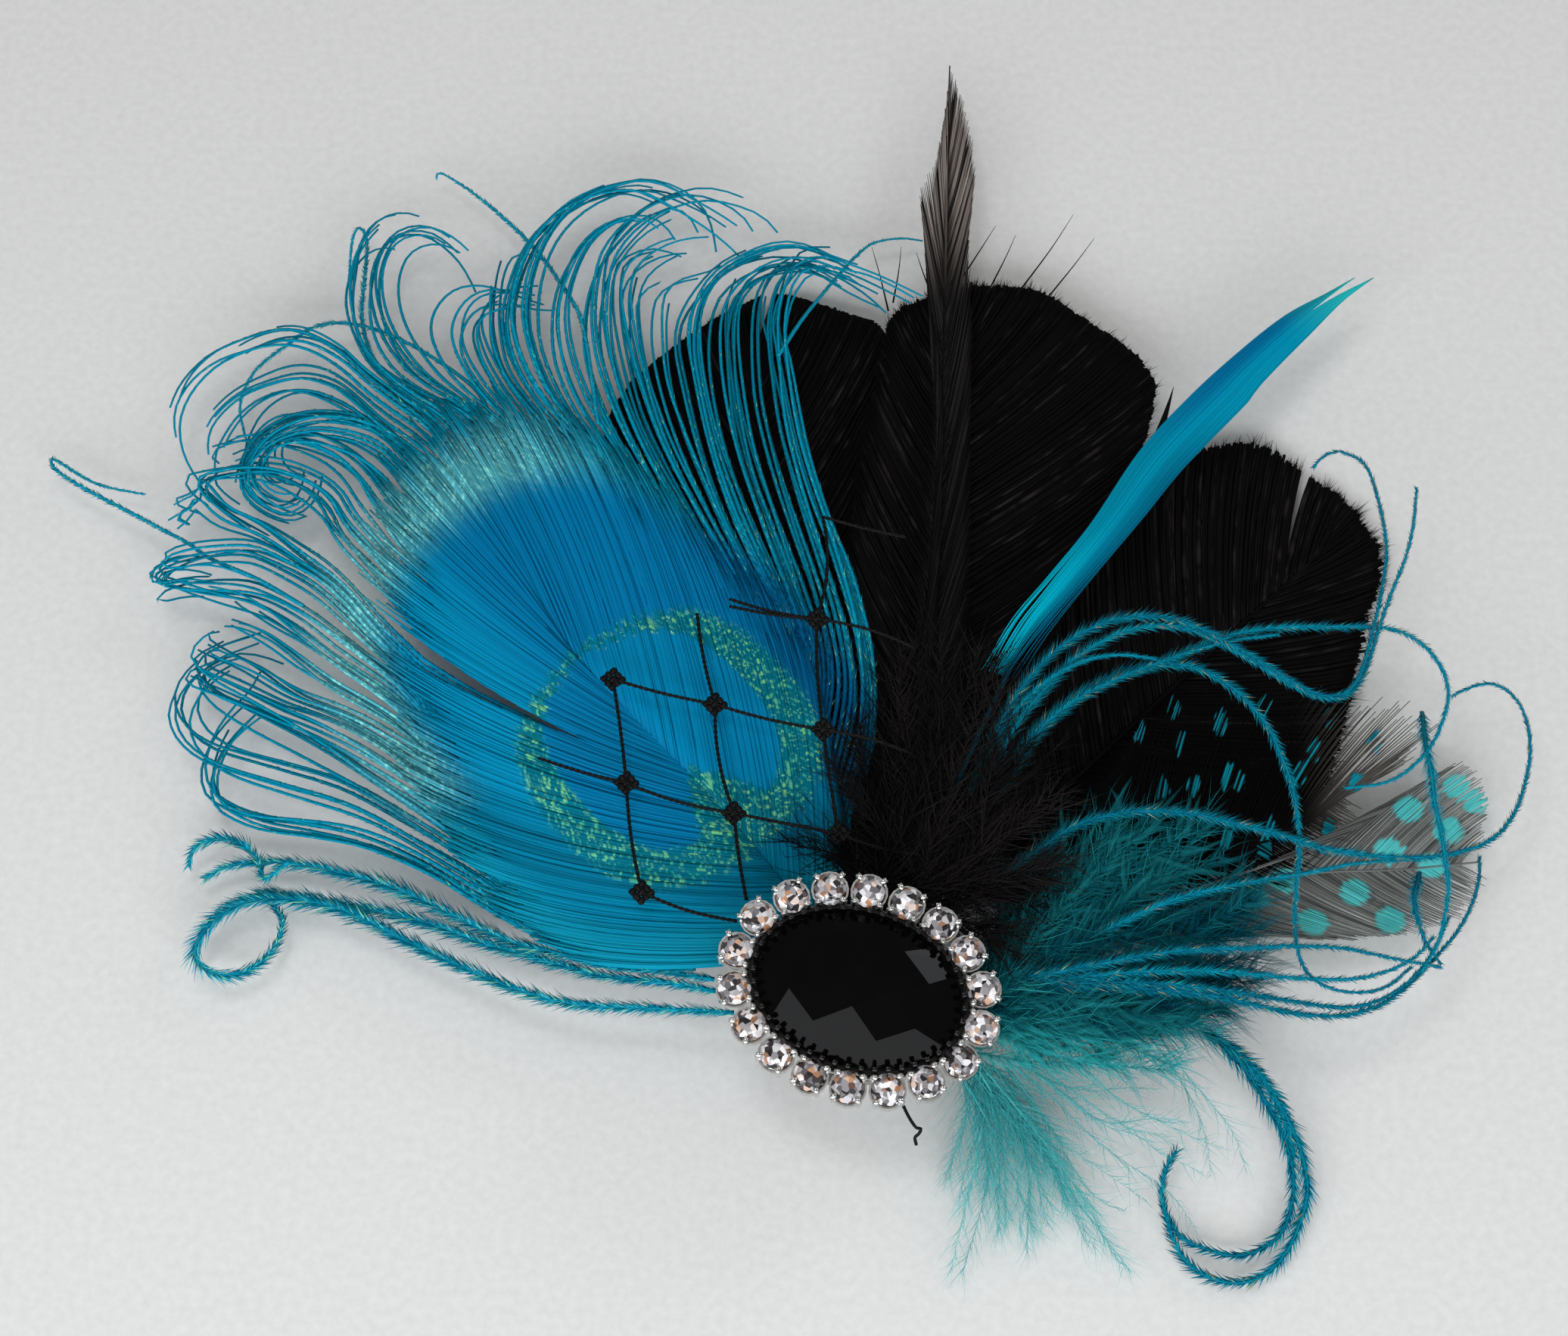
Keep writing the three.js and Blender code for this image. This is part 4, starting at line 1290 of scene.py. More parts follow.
def lock_barbs(locks, lag, slit, draw):
    """Paths of the loose barbs of one side of the shaft, and of the fine barbs of its smooth part."""
    routes = np.array([through(lock["route"], ROUTE_POINTS) for lock in locks])
    places = np.arange(len(locks))
    edge = from_photo([(*spot, BORDER_HEIGHT) for spot in routes[:, 0]])
    orders = lengths(edge) / lengths(edge)[-1]
    stem = through(PEACOCK_SHAFT, SHAFT_POINTS)
    ahead = unit(stem[-1] - stem[0])

    def web_curve(place, at):
        """Points of the barb that crosses the border at a place among the locks, with at 1 there."""
        root = WEB_START + (1 - WEB_START) * np.interp(place, places, orders) ** lag
        foot = between(root, np.linspace(0, 1, SHAFT_POINTS), stem)
        border = between(place, places, edge)
        chord = border - foot
        bend = (foot + border) / 2 + WEB_BOW * (chord - ahead * (chord @ ahead))
        return bowed(foot, bend, border, at[:, None])

    share = np.linspace(0, 1, ROUTE_POINTS)
    apart = 1 - GATHERED * smooth_step((share - GATHER_START) / GATHER_SPAN)
    loose = []
    for number, lock in enumerate(locks):
        first, last = lock.get("span", LOCK_SPAN)
        for turn in range(lock["barbs"]):
            offset = first + (last - first) * (turn + 0.5) / lock["barbs"]
            place = np.clip(number + offset, 0, places[-1])
            beside = int(np.clip(number + np.sign(offset), 0, places[-1]))
            pixels = routes[number] + (routes[beside] - routes[number]) * (abs(offset) * apart)[:, None]
            low = lock["low"] + draw.normal(0, LOW_SCATTER)
            height = BORDER_HEIGHT + (low - BORDER_HEIGHT) * share**LOOSE_DROOP
            points = from_photo(np.column_stack([pixels, np.maximum(height, ROUTE_LOWEST)]))
            points += draw.normal(0, BARB_SCATTER) * smooth_step(share / 0.5)[:, None]
            points += draw.normal(0, CURL_SCATTER) * (share**2)[:, None]
            points[:, 2] = np.maximum(points[:, 2], LOOSE_LOWEST)
            under = web_curve(place, HIDDEN_SHARES) - HIDDEN_DEPTH
            kept = ROUTE_POINTS - draw.integers(0, SHORTENED)
            loose.append(through(np.vstack([under, points[:kept]]), BARB_POINTS))
    fine = []
    for place in np.interp(np.linspace(0, 1, WEB_BARBS), orders, places):
        reach = draw.uniform(*WEB_REACH)
        if slit[0] < place < slit[1]:
            reach = SLIT_START + (1 - SLIT_START) * abs(2 * place - slit[0] - slit[1]) / (slit[1] - slit[0])
        fine.append(web_curve(place, np.linspace(0, reach, WEB_POINTS)))
    return np.array(loose), np.array(fine)


print("loose barbs", sum(lock["barbs"] for lock in LEFT_LOCKS + RIGHT_LOCKS))

# %% Two sides of the peacock feather
FINE_PER_TONE = 3  # neighbours that share a tone and look like one barb
FINE_LIFT = 0.22
FINE_LAYERS = 0.04
FINE_SHARE = 0.62  # half width of a fine barb, as a share of the room it has
FINE_WIDTHS = (0.07, 0.3)
FINE_DEPTH = 0.06
LOOSE_MARKS = [0, 0.3, 0.6, 1]
LOOSE_WIDTHS = [0.26, 0.28, 0.22, 0.14]
LOOSE_DEPTH = 0.09
LOOSE_FLUFF = (1.8, 1.7, 1.2, 0.7, 0.4)
STRAY_FLUFF = np.array([0.7, 1.0, 1.2, 1.4, 1.1, 0.6])
STRAY_MARKS = [0, 0.3, 1]
STRAY_HEIGHTS = [8.0, 5.0, 2.8]
STRAY_POINTS = 80
STRAY_TONE = 0.9


def stray(bundle, route, hair, draw):
    """A barb that lies apart. hair is the length of its barbules."""
    height = np.interp(np.linspace(0, 1, len(route)), STRAY_MARKS, STRAY_HEIGHTS)
    path = photo_path(route, height, STRAY_POINTS)
    bundle.one_strand(path, half_widths=(0.3, 0.13), half_depth=0.12, strand=STRAY_TONE, shade=0.5)
    fluff = hair * STRAY_FLUFF
    barbules(bundle, path, draw, fluff, spacing=0.13, lean=28, half_width=0.13, strand=STRAY_TONE)


def peacock_side(name, locks, lag, seed, slit=(0, 0), strays=()):
    """One side of the feather. A slit lies between two places among the locks."""
    draw = np.random.default_rng(seed)
    bundle = Bundle()
    quill(bundle, PEACOCK_SHAFT, base=0.5, tip=0.1, shade=-1.0)
    loose, fine = lock_barbs(locks, lag, slit, draw)
    step = np.linalg.norm(np.diff(fine, axis=0, append=fine[-2:-1]), axis=2)
    fine_width = np.clip(FINE_SHARE * step, *FINE_WIDTHS) * np.linspace(1, 0.2, WEB_POINTS)[None] ** 0.5
    fine[..., 2] += FINE_LIFT + draw.normal(0, FINE_LAYERS, (len(fine), 1))
    tones = np.repeat(draw.random(len(fine)), FINE_PER_TONE)[: len(fine)]
    bundle.strands(fine, fine_width, FINE_DEPTH, strand=tones, shade=0.5)
    width = np.interp(np.linspace(0, 1, BARB_POINTS), LOOSE_MARKS, LOOSE_WIDTHS)
    strands = draw.random(len(loose))
    bundle.strands(loose, width[None], LOOSE_DEPTH, strand=strands, shade=0.3)
    for path, strand in zip(loose, strands):
        barbules(bundle, path, draw, LOOSE_FLUFF, spacing=0.56, lean=15, half_width=0.14, strand=strand)
    for lone in strays:
        stray(bundle, lone["route"], lone["hair"], draw)
    bundle.piece(name, peacock, "peacock_feather", "peacock_feather")


peacock_side("peacock_left_barbs", LEFT_LOCKS, lag=1.3, seed=51, slit=(7.95, 8.55), strays=STRAYS)
peacock_side("peacock_right_barbs", RIGHT_LOCKS, lag=2.3, seed=52)

# %% [markdown]
# ## Herls
# Loose peacock barbs, called herls, arch to the right over the black feathers and hook round below. A herl
# is a thin quill with barbules on both sides that lean forward, like an ear of wheat. The routes were read
# off the photo in pixels.

# %% Routes of the herls
HERL_ROUTES = [
    [
        (1285, 1060), (1309, 991), (1330, 940), (1365, 890), (1405, 852), (1456, 824), (1506, 814),
        (1556, 819), (1602, 837), (1637, 857), (1672, 877), (1707, 900), (1743, 918), (1773, 918),
        (1791, 903), (1803, 875), (1815, 830), (1826, 780), (1832, 730), (1826, 680), (1808, 620),
        (1788, 603), (1767, 596), (1749, 603), (1736, 617),
    ],
    [
        (1290, 1068), (1319, 1006), (1345, 955), (1385, 905), (1425, 867), (1471, 840), (1516, 827),
        (1566, 829), (1607, 845), (1647, 867), (1687, 892), (1728, 915), (1763, 923), (1788, 913),
        (1806, 882), (1822, 830), (1840, 780), (1858, 735), (1868, 690), (1872, 645),
    ],
    [
        (1300, 1075), (1335, 1016), (1365, 971), (1410, 930), (1466, 900), (1516, 882), (1566, 862),
        (1617, 842), (1657, 833), (1707, 828), (1758, 828), (1808, 828), (1849, 834), (1884, 855),
        (1906, 885), (1914, 915), (1909, 945), (1894, 981), (1874, 1006), (1849, 1026), (1823, 1036),
        (1798, 1039), (1778, 1041),
    ],
    [
        (1310, 1060), (1355, 991), (1395, 945), (1440, 910), (1491, 885), (1541, 877), (1581, 882),
        (1617, 900), (1647, 925), (1672, 955), (1692, 996), (1707, 1036), (1715, 1081), (1717, 1122),
        (1713, 1172), (1711, 1222), (1717, 1263), (1730, 1288), (1758, 1306), (1798, 1311),
        (1833, 1303), (1864, 1278),
    ],
    [(1280, 1050), (1314, 981), (1350, 930), (1390, 895), (1435, 872), (1481, 865), (1526, 870)],
    [
        (1305, 1070), (1345, 1006), (1380, 958), (1425, 923), (1476, 897), (1526, 877), (1576, 860),
        (1630, 846), (1690, 838),
    ],
    [
        (1310, 1165), (1380, 1117), (1420, 1091), (1471, 1076), (1526, 1071), (1581, 1076),
        (1637, 1089), (1697, 1104), (1743, 1119), (1788, 1127), (1838, 1132), (1889, 1132),
        (1934, 1124), (1974, 1107), (2000, 1076), (2015, 1036), (2022, 991), (2015, 945), (1995, 915),
        (1969, 903), (1939, 910), (1919, 920),
    ],
    [
        (1370, 1280), (1445, 1238), (1496, 1212), (1556, 1187), (1617, 1172), (1672, 1162),
        (1723, 1154), (1783, 1142), (1838, 1137), (1889, 1133),
    ],
    [
        (1319, 1295), (1370, 1288), (1430, 1278), (1496, 1265), (1566, 1255), (1637, 1253),
        (1707, 1250), (1768, 1252), (1808, 1259), (1849, 1268), (1879, 1273), (1904, 1278),
    ],
    [
        (1319, 1301), (1385, 1295), (1456, 1288), (1526, 1283), (1597, 1283), (1667, 1288),
        (1728, 1293), (1788, 1293), (1833, 1283), (1869, 1265), (1894, 1238),
    ],
    [
        (1322, 1306), (1385, 1302), (1456, 1298), (1526, 1299), (1597, 1306), (1667, 1316),
        (1728, 1326), (1778, 1331), (1818, 1323), (1854, 1303), (1879, 1278), (1899, 1248),
        (1914, 1212),
    ],
    [
        (1322, 1308), (1385, 1307), (1456, 1304), (1536, 1308), (1607, 1316), (1672, 1331),
        (1728, 1341), (1778, 1341), (1823, 1328), (1859, 1303), (1889, 1273), (1924, 1233),
        (1944, 1197), (1954, 1162), (1955, 1132),
    ],
    [
        (1879, 940), (1884, 981), (1891, 1021), (1896, 1061), (1904, 1096), (1909, 1132), (1914, 1172),
        (1909, 1212), (1899, 1248), (1879, 1283),
    ],
    [(1876, 1152), (1869, 1187), (1874, 1217), (1886, 1248), (1904, 1273)],
]
CURL_ROUTES = [
    [
        (1600, 1369), (1638, 1397), (1671, 1429), (1698, 1472), (1719, 1521), (1728, 1570),
        (1719, 1613), (1698, 1657), (1671, 1684), (1638, 1695), (1600, 1689), (1568, 1668),
        (1549, 1635), (1538, 1597), (1535, 1570), (1541, 1543), (1554, 1521),
    ],
    [
        (1611, 1375), (1649, 1418), (1676, 1462), (1698, 1505), (1709, 1554), (1706, 1597),
        (1692, 1630), (1665, 1651), (1633, 1659), (1595, 1651), (1562, 1635), (1546, 1613),
    ],
    [(1589, 1364), (1622, 1380), (1654, 1407), (1679, 1440), (1698, 1483), (1711, 1527)],
]
print("herls", len(HERL_ROUTES), "and", len(CURL_ROUTES))

# %% Dyed herl
herl = Finish("dyed_herl")
herl_glint = herl.fact("shade")
herl_base = herl.blend(herl.fact("strand"), tint(0, 100, 128), tint(0, 136, 162))
herl_base = herl.blend(herl_glint.smooth(0.5, 0.8), herl_base, tint(20, 146, 160))
# Painted shade: the herls are darker towards their feet, where they start under the down.
herl_base = herl.shade(herl_base, 0.72 + 0.28 * herl.fact("along").smooth(0.0, 0.35))
herl.set(
    Base_Color=herl.blend(herl_glint.smooth(0.94, 0.97), herl_base, tint(150, 160, 124)),
    Roughness=0.4,
    Specular_IOR_Level=0.06,
)
print("finish", herl.material.name)

# %% Spray and curl
HERL_POINTS = 70
SPRAY_LENGTHS = (2.1, 2.1, 1.8, 1.3, 0.9, 0.7)
SPRAY_TOP = 13.6
SPRAY_START = 1330  # photo column from which the spray sinks
SPRAY_REACH = 690
SPRAY_DROP = 6.0
SPRAY_LAYERS = 4
SPRAY_LAYER = 0.3
SPRAY_FOOT = 4.6  # how much lower a herl starts, under the fluff
CURL_LENGTHS = (2.6, 2.4, 2.2, 2.0, 1.7, 1.3)
CURL_ROWS = [1370, 1520, 1690]
CURL_HEIGHTS = [6.6, 2.8, 1.4]


def herl_rope(bundle, path, draw, length, spacing, half_width):
    strand = draw.random()
    bundle.one_strand(path, half_widths=(0.3, 0.12), half_depth=0.14, strand=strand)
    barbules(bundle, path, draw, length, spacing, lean=30, half_width=half_width, strand=strand)


def herl_spray():
    draw = np.random.default_rng(61)
    bundle = Bundle()
    for order, route in enumerate(HERL_ROUTES):
        columns = np.array(route, float)[:, 0]
        sunk = np.clip((columns - SPRAY_START) / SPRAY_REACH, 0, 1) ** 2
        height = SPRAY_TOP - SPRAY_DROP * sunk - SPRAY_LAYER * (order % SPRAY_LAYERS)
        height -= SPRAY_FOOT * np.exp(-np.arange(len(route)))
        path = photo_path(route, height, HERL_POINTS)
        herl_rope(bundle, path, draw, SPRAY_LENGTHS, spacing=0.13, half_width=0.1)
    bundle.piece("herl_spray_barbs", herl, "peacock_feather", "herl_spray")


def herl_curl():
    draw = np.random.default_rng(62)
    bundle = Bundle()
    for route in CURL_ROUTES:
        rows = np.array(route, float)[:, 1]
        path = photo_path(route, np.interp(rows, CURL_ROWS, CURL_HEIGHTS), HERL_POINTS)
        herl_rope(bundle, path, draw, CURL_LENGTHS, spacing=0.2, half_width=0.15)
    bundle.piece("herl_curl_barbs", herl, "peacock_feather", "herl_curl")


herl_spray()
herl_curl()

# %% [markdown]
# ## Down
# The marabou beside the brooch and the black fluff above it are down: soft stems whose hairs are too fine
# to lie in order. Hairs grow on both sides of each stem, lean forward and droop in their own way. The
# marabou's hairs also let light through, more so at their tips, which makes the mass look soft. A few loose
# wisps below it follow the photo.

# %% Stems with hairs
HAIR_POINTS = 4
HAIR_START = 0.03
HAIR_LIFT = (0.05, 0.22)
HAIR_REACHES = (0.45, 1.4)
HAIR_BENDS_AHEAD = (-0.1, 0.5)
HAIR_BENDS_BACK = (-0.25, 0.45)
HAIR_WAVER = 0.16
HAIR_LOWEST = 0.3
HAIR_TONES = 0.12


def down(bundle, stem, draw, length, spacing, half_width, lean, strand, shade=0.0, dim=0.0):
    """One stem with its hairs, which lean forward by angles between two limits. dim paints shade on its
    foot.
    """
    total = lengths(stem)[-1]
    at = np.arange(HAIR_START * total, total, spacing)
    count = len(at)
    share = at / total
    base, forward = stations(stem, at)
    side = unit(np.cross(forward, UP)) * np.where(draw.random(count) < 0.5, -1, 1)[:, None]
    turn = np.radians(draw.uniform(*lean, count))
    heading = forward * np.cos(turn)[:, None] + side * np.sin(turn)[:, None]
    heading[:, 2] += draw.normal(*HAIR_LIFT, count)
    reach = along_path(share, length) * draw.uniform(*HAIR_REACHES, count)
    ahead = forward * draw.uniform(*HAIR_BENDS_AHEAD, (count, 1))
    back = side * draw.uniform(*HAIR_BENDS_BACK, (count, 1))
    t = np.linspace(0, 1, HAIR_POINTS)[None, :, None]
    hairs = base[:, None] + (heading[:, None] * t + (ahead - back)[:, None] * t**2) * reach[:, None, None]
    hairs += np.cumsum(draw.normal(0, HAIR_WAVER, (count, HAIR_POINTS, 3)), axis=1) * t
    hairs[..., 2] = np.maximum(hairs[..., 2], HAIR_LOWEST)
    tone = np.clip(strand - dim * (1 - share) ** 2 + draw.normal(0, HAIR_TONES, count), 0, 1)
    bundle.hairs(hairs, half_width, tone, shade)
    bundle.one_strand(stem, half_widths=(0.14, 0.04), half_depth=0.06, strand=strand)


def limp_stem(draw, root, tip, scatter, points, sag=(0, 0, 0)):
    """A stem between two photo spots with heights. scatter is for its root, its tip and its bend."""
    start = from_photo(root) + draw.normal(0, scatter[0])
    end = from_photo(tip) + draw.normal(0, scatter[1])
    bend = (start + end) / 2 + sag + draw.normal(0, scatter[2])
    return through([start, bend, end], points)


print("a hair has", HAIR_POINTS, "points")


# %% Dyed and black down
def teal_finish(name, dark, pale, body):
    """Dyed down. body is how much light the foot of a hair stops."""
    finish = Finish(name)
    return finish.set(
        Base_Color=finish.blend(finish.fact("strand"), dark, pale),
        Alpha=body * (1 - 0.7 * finish.fact("along")) * (1 - 0.6 * finish.fact("shade")),
        Roughness=0.6,
        Specular_IOR_Level=0.03,
    )


teal_down = teal_finish("teal_down", tint(0, 76, 96), tint(50, 186, 188), body=0.7)
pale_down = teal_finish("pale_teal_down", tint(14, 150, 158), tint(100, 216, 216), body=0.52)
black_down = Finish("black_down")
black_down.set(
    Base_Color=black_down.blend(black_down.fact("strand"), tint(2, 2, 2), tint(40, 36, 35)),
    Roughness=0.5,
    Specular_IOR_Level=0.08,
)
print("finishes", teal_down.material.name, pale_down.material.name, black_down.material.name)

# %% Teal plume
PLUME_ROOT = (1290, 1325, 11.0)
PLUME_ENDS = [
    (1400, 1150), (1430, 1110), (1470, 1085), (1520, 1080), (1570, 1095), (1615, 1130), (1645, 1180),
    (1655, 1235), (1655, 1285), (1640, 1320), (1605, 1348), (1565, 1362), (1525, 1370), (1480, 1375),
    (1435, 1378), (1390, 1380), (1610, 1268),
]
PLUME_HEIGHT = 9.0
PLUME_SCATTER = ([0.8, 1.8, 0.3], [1.8, 1.8, 0.9], [1.2, 1.6, 0.6])
PLUME_STEMS = 4  # stems to each end
PLUME_HAIRS = (4.0, 5.0, 5.0, 4.5)
PLUME_HAZE = (4.0, 5.0, 5.0, 4.0)  # broad, faint hairs that fill the gaps
PLUME_ROWS = [1080, 1200, 1300, 1345, 1380]
PLUME_TONES = [0.3, 0.04, 0.0, 0.2, 1.0]


def teal_plume():
    draw = np.random.default_rng(71)
    bundle = Bundle()
    for across, row in np.repeat(PLUME_ENDS, PLUME_STEMS, axis=0):
        stem = limp_stem(draw, PLUME_ROOT, (across, row, PLUME_HEIGHT), PLUME_SCATTER, points=12)
        tone = np.interp(row, PLUME_ROWS, PLUME_TONES) + draw.uniform(0, 0.15)
        down(bundle, stem, draw, PLUME_HAIRS, spacing=0.28, half_width=0.09, lean=(12, 65), strand=tone)
        down(
            bundle, stem, draw, PLUME_HAZE,
            spacing=1.1, half_width=0.6, lean=(12, 60), strand=tone, shade=1.0,
        )
    bundle.piece("teal_plume_down", teal_down, "teal_down", "teal_plume")


teal_plume()

# %% Teal wisps
WISP_ROOT = (1285, 1405, 9.0)
WISP_ENDS = [
    (1248, 1554), (1262, 1600), (1279, 1680), (1295, 1590), (1310, 1617), (1330, 1625), (1353, 1642),
    (1368, 1609), (1392, 1600), (1415, 1590), (1442, 1656), (1449, 1605), (1486, 1675), (1380, 1545),
    (1420, 1530), (1330, 1540),
]
WISP_HEIGHT = 1.6
WISP_SCATTER = ([1.4, 1.0, 0.3], [0.9, 0.9, 0.3], [0.8, 0.8, 0.3])
WISP_SAG = [1.2, 0.6, 0.6]
WISP_STEMS = 2
WISP_HAIRS = (5.0, 6.0, 4.5, 2.5)
LOOSE_WISPS = [
    [(1330, 1400), (1390, 1450), (1442, 1501), (1488, 1536), (1535, 1567), (1558, 1590), (1581, 1628)],
    [(1325, 1405), (1360, 1455), (1403, 1508), (1457, 1547), (1515, 1586)],
    [(1340, 1395), (1400, 1440), (1457, 1485), (1504, 1501), (1535, 1524), (1589, 1549)],
    [(1345, 1395), (1410, 1436), (1480, 1485), (1525, 1498), (1560, 1520)],
    [(1505, 1350), (1542, 1400), (1573, 1450), (1593, 1501), (1600, 1555)],
    [(1520, 1350), (1562, 1412), (1604, 1462), (1631, 1501), (1647, 1547)],
    [(1420, 1400), (1475, 1450), (1531, 1481), (1581, 1505), (1616, 1516)],
    [(1340, 1400), (1395, 1431), (1442, 1441), (1488, 1437), (1531, 1439)],
    [(1370, 1420), (1426, 1462), (1465, 1483), (1523, 1478), (1566, 1481)],
    [(1330, 1410), (1375, 1470), (1430, 1560), (1460, 1590), (1489, 1600)],
]
LOOSE_WISP_POINTS = 24
LOOSE_WISP_HEIGHTS = (8.0, 2.0)
LOOSE_WISP_HAIRS = (4.5, 5.0, 4.0, 1.5)


def teal_wisps():
    draw = np.random.default_rng(73)
    bundle = Bundle()
    for end in np.repeat(WISP_ENDS, WISP_STEMS, axis=0):
        stem = limp_stem(draw, WISP_ROOT, (*end, WISP_HEIGHT), WISP_SCATTER, points=14, sag=WISP_SAG)
        tone = draw.uniform(0.5, 1.0)
        # Painted shade: dim darkens each wisp towards its foot, which starts under the plume.
        down(
            bundle, stem, draw, WISP_HAIRS,
            spacing=0.3, half_width=0.055, lean=(6, 45), strand=tone, dim=0.5,
        )
    for route in LOOSE_WISPS:
        stem = photo_path(route, np.linspace(*LOOSE_WISP_HEIGHTS, len(route)), LOOSE_WISP_POINTS)
        tone = draw.uniform(0.4, 0.8)
        down(bundle, stem, draw, LOOSE_WISP_HAIRS, spacing=0.45, half_width=0.05, lean=(8, 60), strand=tone)
    bundle.piece("teal_plume_wisps", pale_down, "teal_down", "teal_plume")


teal_wisps()

# %% Black fluff
FLUFF_ROOT = (1215, 1195)
FLUFF_ENDS = [
    (1075, 1075), (1090, 1010), (1130, 960), (1170, 900), (1210, 850), (1250, 830), (1290, 860),
    (1320, 900), (1350, 950), (1380, 1000), (1400, 1060), (1405, 1120), (1390, 1165), (1330, 1030),
    (1260, 960), (1200, 1000), (1052, 1122), (1062, 1100), (1072, 1134), (1088, 1086), (1372, 1196),
    (1350, 1222), (1335, 1245),
]
FLUFF_SCATTER = ([3.4, 1.2, 0.4], [1.3, 1.3, 0.5], [0.8, 0.8, 0.5])
FLUFF_STEMS = 2
FLUFF_HAIRS = (5.0, 6.0, 5.5, 4.0)
FLUFF_COLUMNS = [1120, 1260]  # the fluff lies lower at the left, under the veil
FLUFF_ROOT_HEIGHTS = [11.2, 12.4]
FLUFF_END_HEIGHTS = [9.8, 12.4]


def black_fluff():
    draw = np.random.default_rng(72)
    bundle = Bundle()
    for end in np.repeat(FLUFF_ENDS, FLUFF_STEMS, axis=0):
        root = (*FLUFF_ROOT, np.interp(end[0], FLUFF_COLUMNS, FLUFF_ROOT_HEIGHTS))
        tip = (*end, np.interp(end[0], FLUFF_COLUMNS, FLUFF_END_HEIGHTS))
        stem = limp_stem(draw, root, tip, FLUFF_SCATTER, points=12)
        tone = draw.uniform(0.0, 0.6)
        down(bundle, stem, draw, FLUFF_HAIRS, spacing=0.22, half_width=0.08, lean=(12, 58), strand=tone)
    bundle.piece("black_fluff_down", black_down, "black_feather", "black_fluff")


black_fluff()

# %% [markdown]
# ## Net veil
# A scrap of knotted netting lies over the eye. Its threads are two plies twisted round each other, and each
# knot is a small woven diamond. The places of the knots and of the cut ends follow the photo.

# %% Places of knots and threads
KNOTS = {
    "k1": (-29.9, 43.9), "k2": (-17.3, 40.5), "k3": (-4, 37.1), "k4": (-28, 30), "k5": (-14.9, 26),
    "k6": (-2.2, 23.3), "k7": (-25.9, 15.7), "k8": (-4.7, 52.1),
}
ENDS = {
    "k8_left": (-15.6, 53.9), "k8_right": (7.3, 48.2), "k3_right": (6.6, 34), "k6_right": (9.6, 20.3),
    "k2_top": (-19.6, 52.9), "k8_top": (-3.9, 66.4), "k8_far": (6.6, 63.5), "k4_left": (-38.8, 33.3),
    "k5_down": (-13.3, 14.7), "k7_down": (-14.4, 12),
}
THREADS = [
    "k1 k2", "k2 k3", "k3 k3_right", "k4_left k4", "k4 k5", "k5 k6", "k6 k6_right", "k7 k7_down",
    "k1 k4", "k4 k7", "k2_top k2", "k2 k5", "k5 k5_down", "k8_top k8", "k8_top k8_far", "k8 k3",
    "k3 k6", "k8_left k8", "k8 k8_right",
]
THREAD_END = [
    (1187, 1445), (1199, 1472), (1210, 1489), (1217, 1491), (1214, 1498), (1209, 1503), (1211, 1513),
]
print("knots", len(KNOTS), "threads", len(THREADS))

# %% Knots and threads
VEIL_HEIGHT = 12.7
VEIL_LEVEL = 9.0
THREAD_POINTS = 40
THREAD_SAG = 0.5
PLY_TURN = 1.5  # millimetres of thread for one twist
PLY_OFFSET = 0.11
PLY_WIDTH = 0.15
KNOT_POINTS = 13
KNOT_REACH = 1.2
KNOT_STEP = 0.78
KNOT_WAVE = 0.14
KNOT_WIDTH = 0.33
KNOT_DEPTH = 0.18
THREAD_END_POINTS = 30
THREAD_END_HEIGHTS = (10.5, 7.8)
THREAD_END_WIDTH = 0.2

black_thread = Finish("black_net_thread")
black_thread.set(
    Base_Color=black_thread.blend(black_thread.fact("strand"), tint(4, 4, 4), tint(16, 15, 15)),
    Roughness=0.55,
    Specular_IOR_Level=0.15,
)


def thread(bundle, start, end, sag):
    """Two plies twisted round each other, in a shallow arch."""
    along = end - start
    t = np.linspace(0, 1, THREAD_POINTS)[:, None]
    side = unit(np.cross(along, UP))
    path = start + along * t + (side * sag + [0, 0, abs(sag) * 0.3]) * np.sin(np.pi * t)
    twist = 2 * np.pi * t * np.linalg.norm(along) / PLY_TURN
    for phase, tone in ((0, 0.2), (np.pi, 0.7)):
        ply = path + PLY_OFFSET * (side * np.cos(twist + phase) + UP * np.sin(twist + phase))
        bundle.strands(ply[None], PLY_WIDTH, PLY_WIDTH, strand=tone)


def knot(bundle, place, right, left, draw):
    """Three threads each way, woven over and under each other."""
    t = np.linspace(-1, 1, KNOT_POINTS)[:, None]
    for run, step, over in ((right, left, 1), (left, right, -1)):
        for order in (-1, 0, 1):
            weave = KNOT_WAVE * over * np.cos(np.pi * (1.5 * t + order))
            path = place + run * t * KNOT_REACH + step * order * KNOT_STEP + UP * weave
            bundle.strands(path[None], KNOT_WIDTH, KNOT_DEPTH, strand=draw.random(1))


def net_veil():
    draw = np.random.default_rng(81)
    bundle = Bundle()
    places = {name: seen([*spot, VEIL_HEIGHT], VEIL_LEVEL) for name, spot in {**KNOTS, **ENDS}.items()}
    for pair in THREADS:
        first, second = pair.split()
        thread(bundle, places[first], places[second], draw.normal(0, THREAD_SAG))
    thread(bundle, places["k8_left"] + [0, 1.0, 0], places["k8"], 0.4)
    row = unit(places["k5"] - places["k4"])
    rise = unit(places["k2"] - places["k5"])
    for name in KNOTS:
        knot(bundle, places[name], unit(row + rise), unit(row - rise), draw)
    heights = np.linspace(*THREAD_END_HEIGHTS, len(THREAD_END))
    loose_end = photo_path(THREAD_END, heights, THREAD_END_POINTS)
    bundle.strands(loose_end[None], THREAD_END_WIDTH, THREAD_END_WIDTH, strand=0.2)
    bundle.piece("net_veil_threads", black_thread, "black_net", "net_veil")


net_veil()

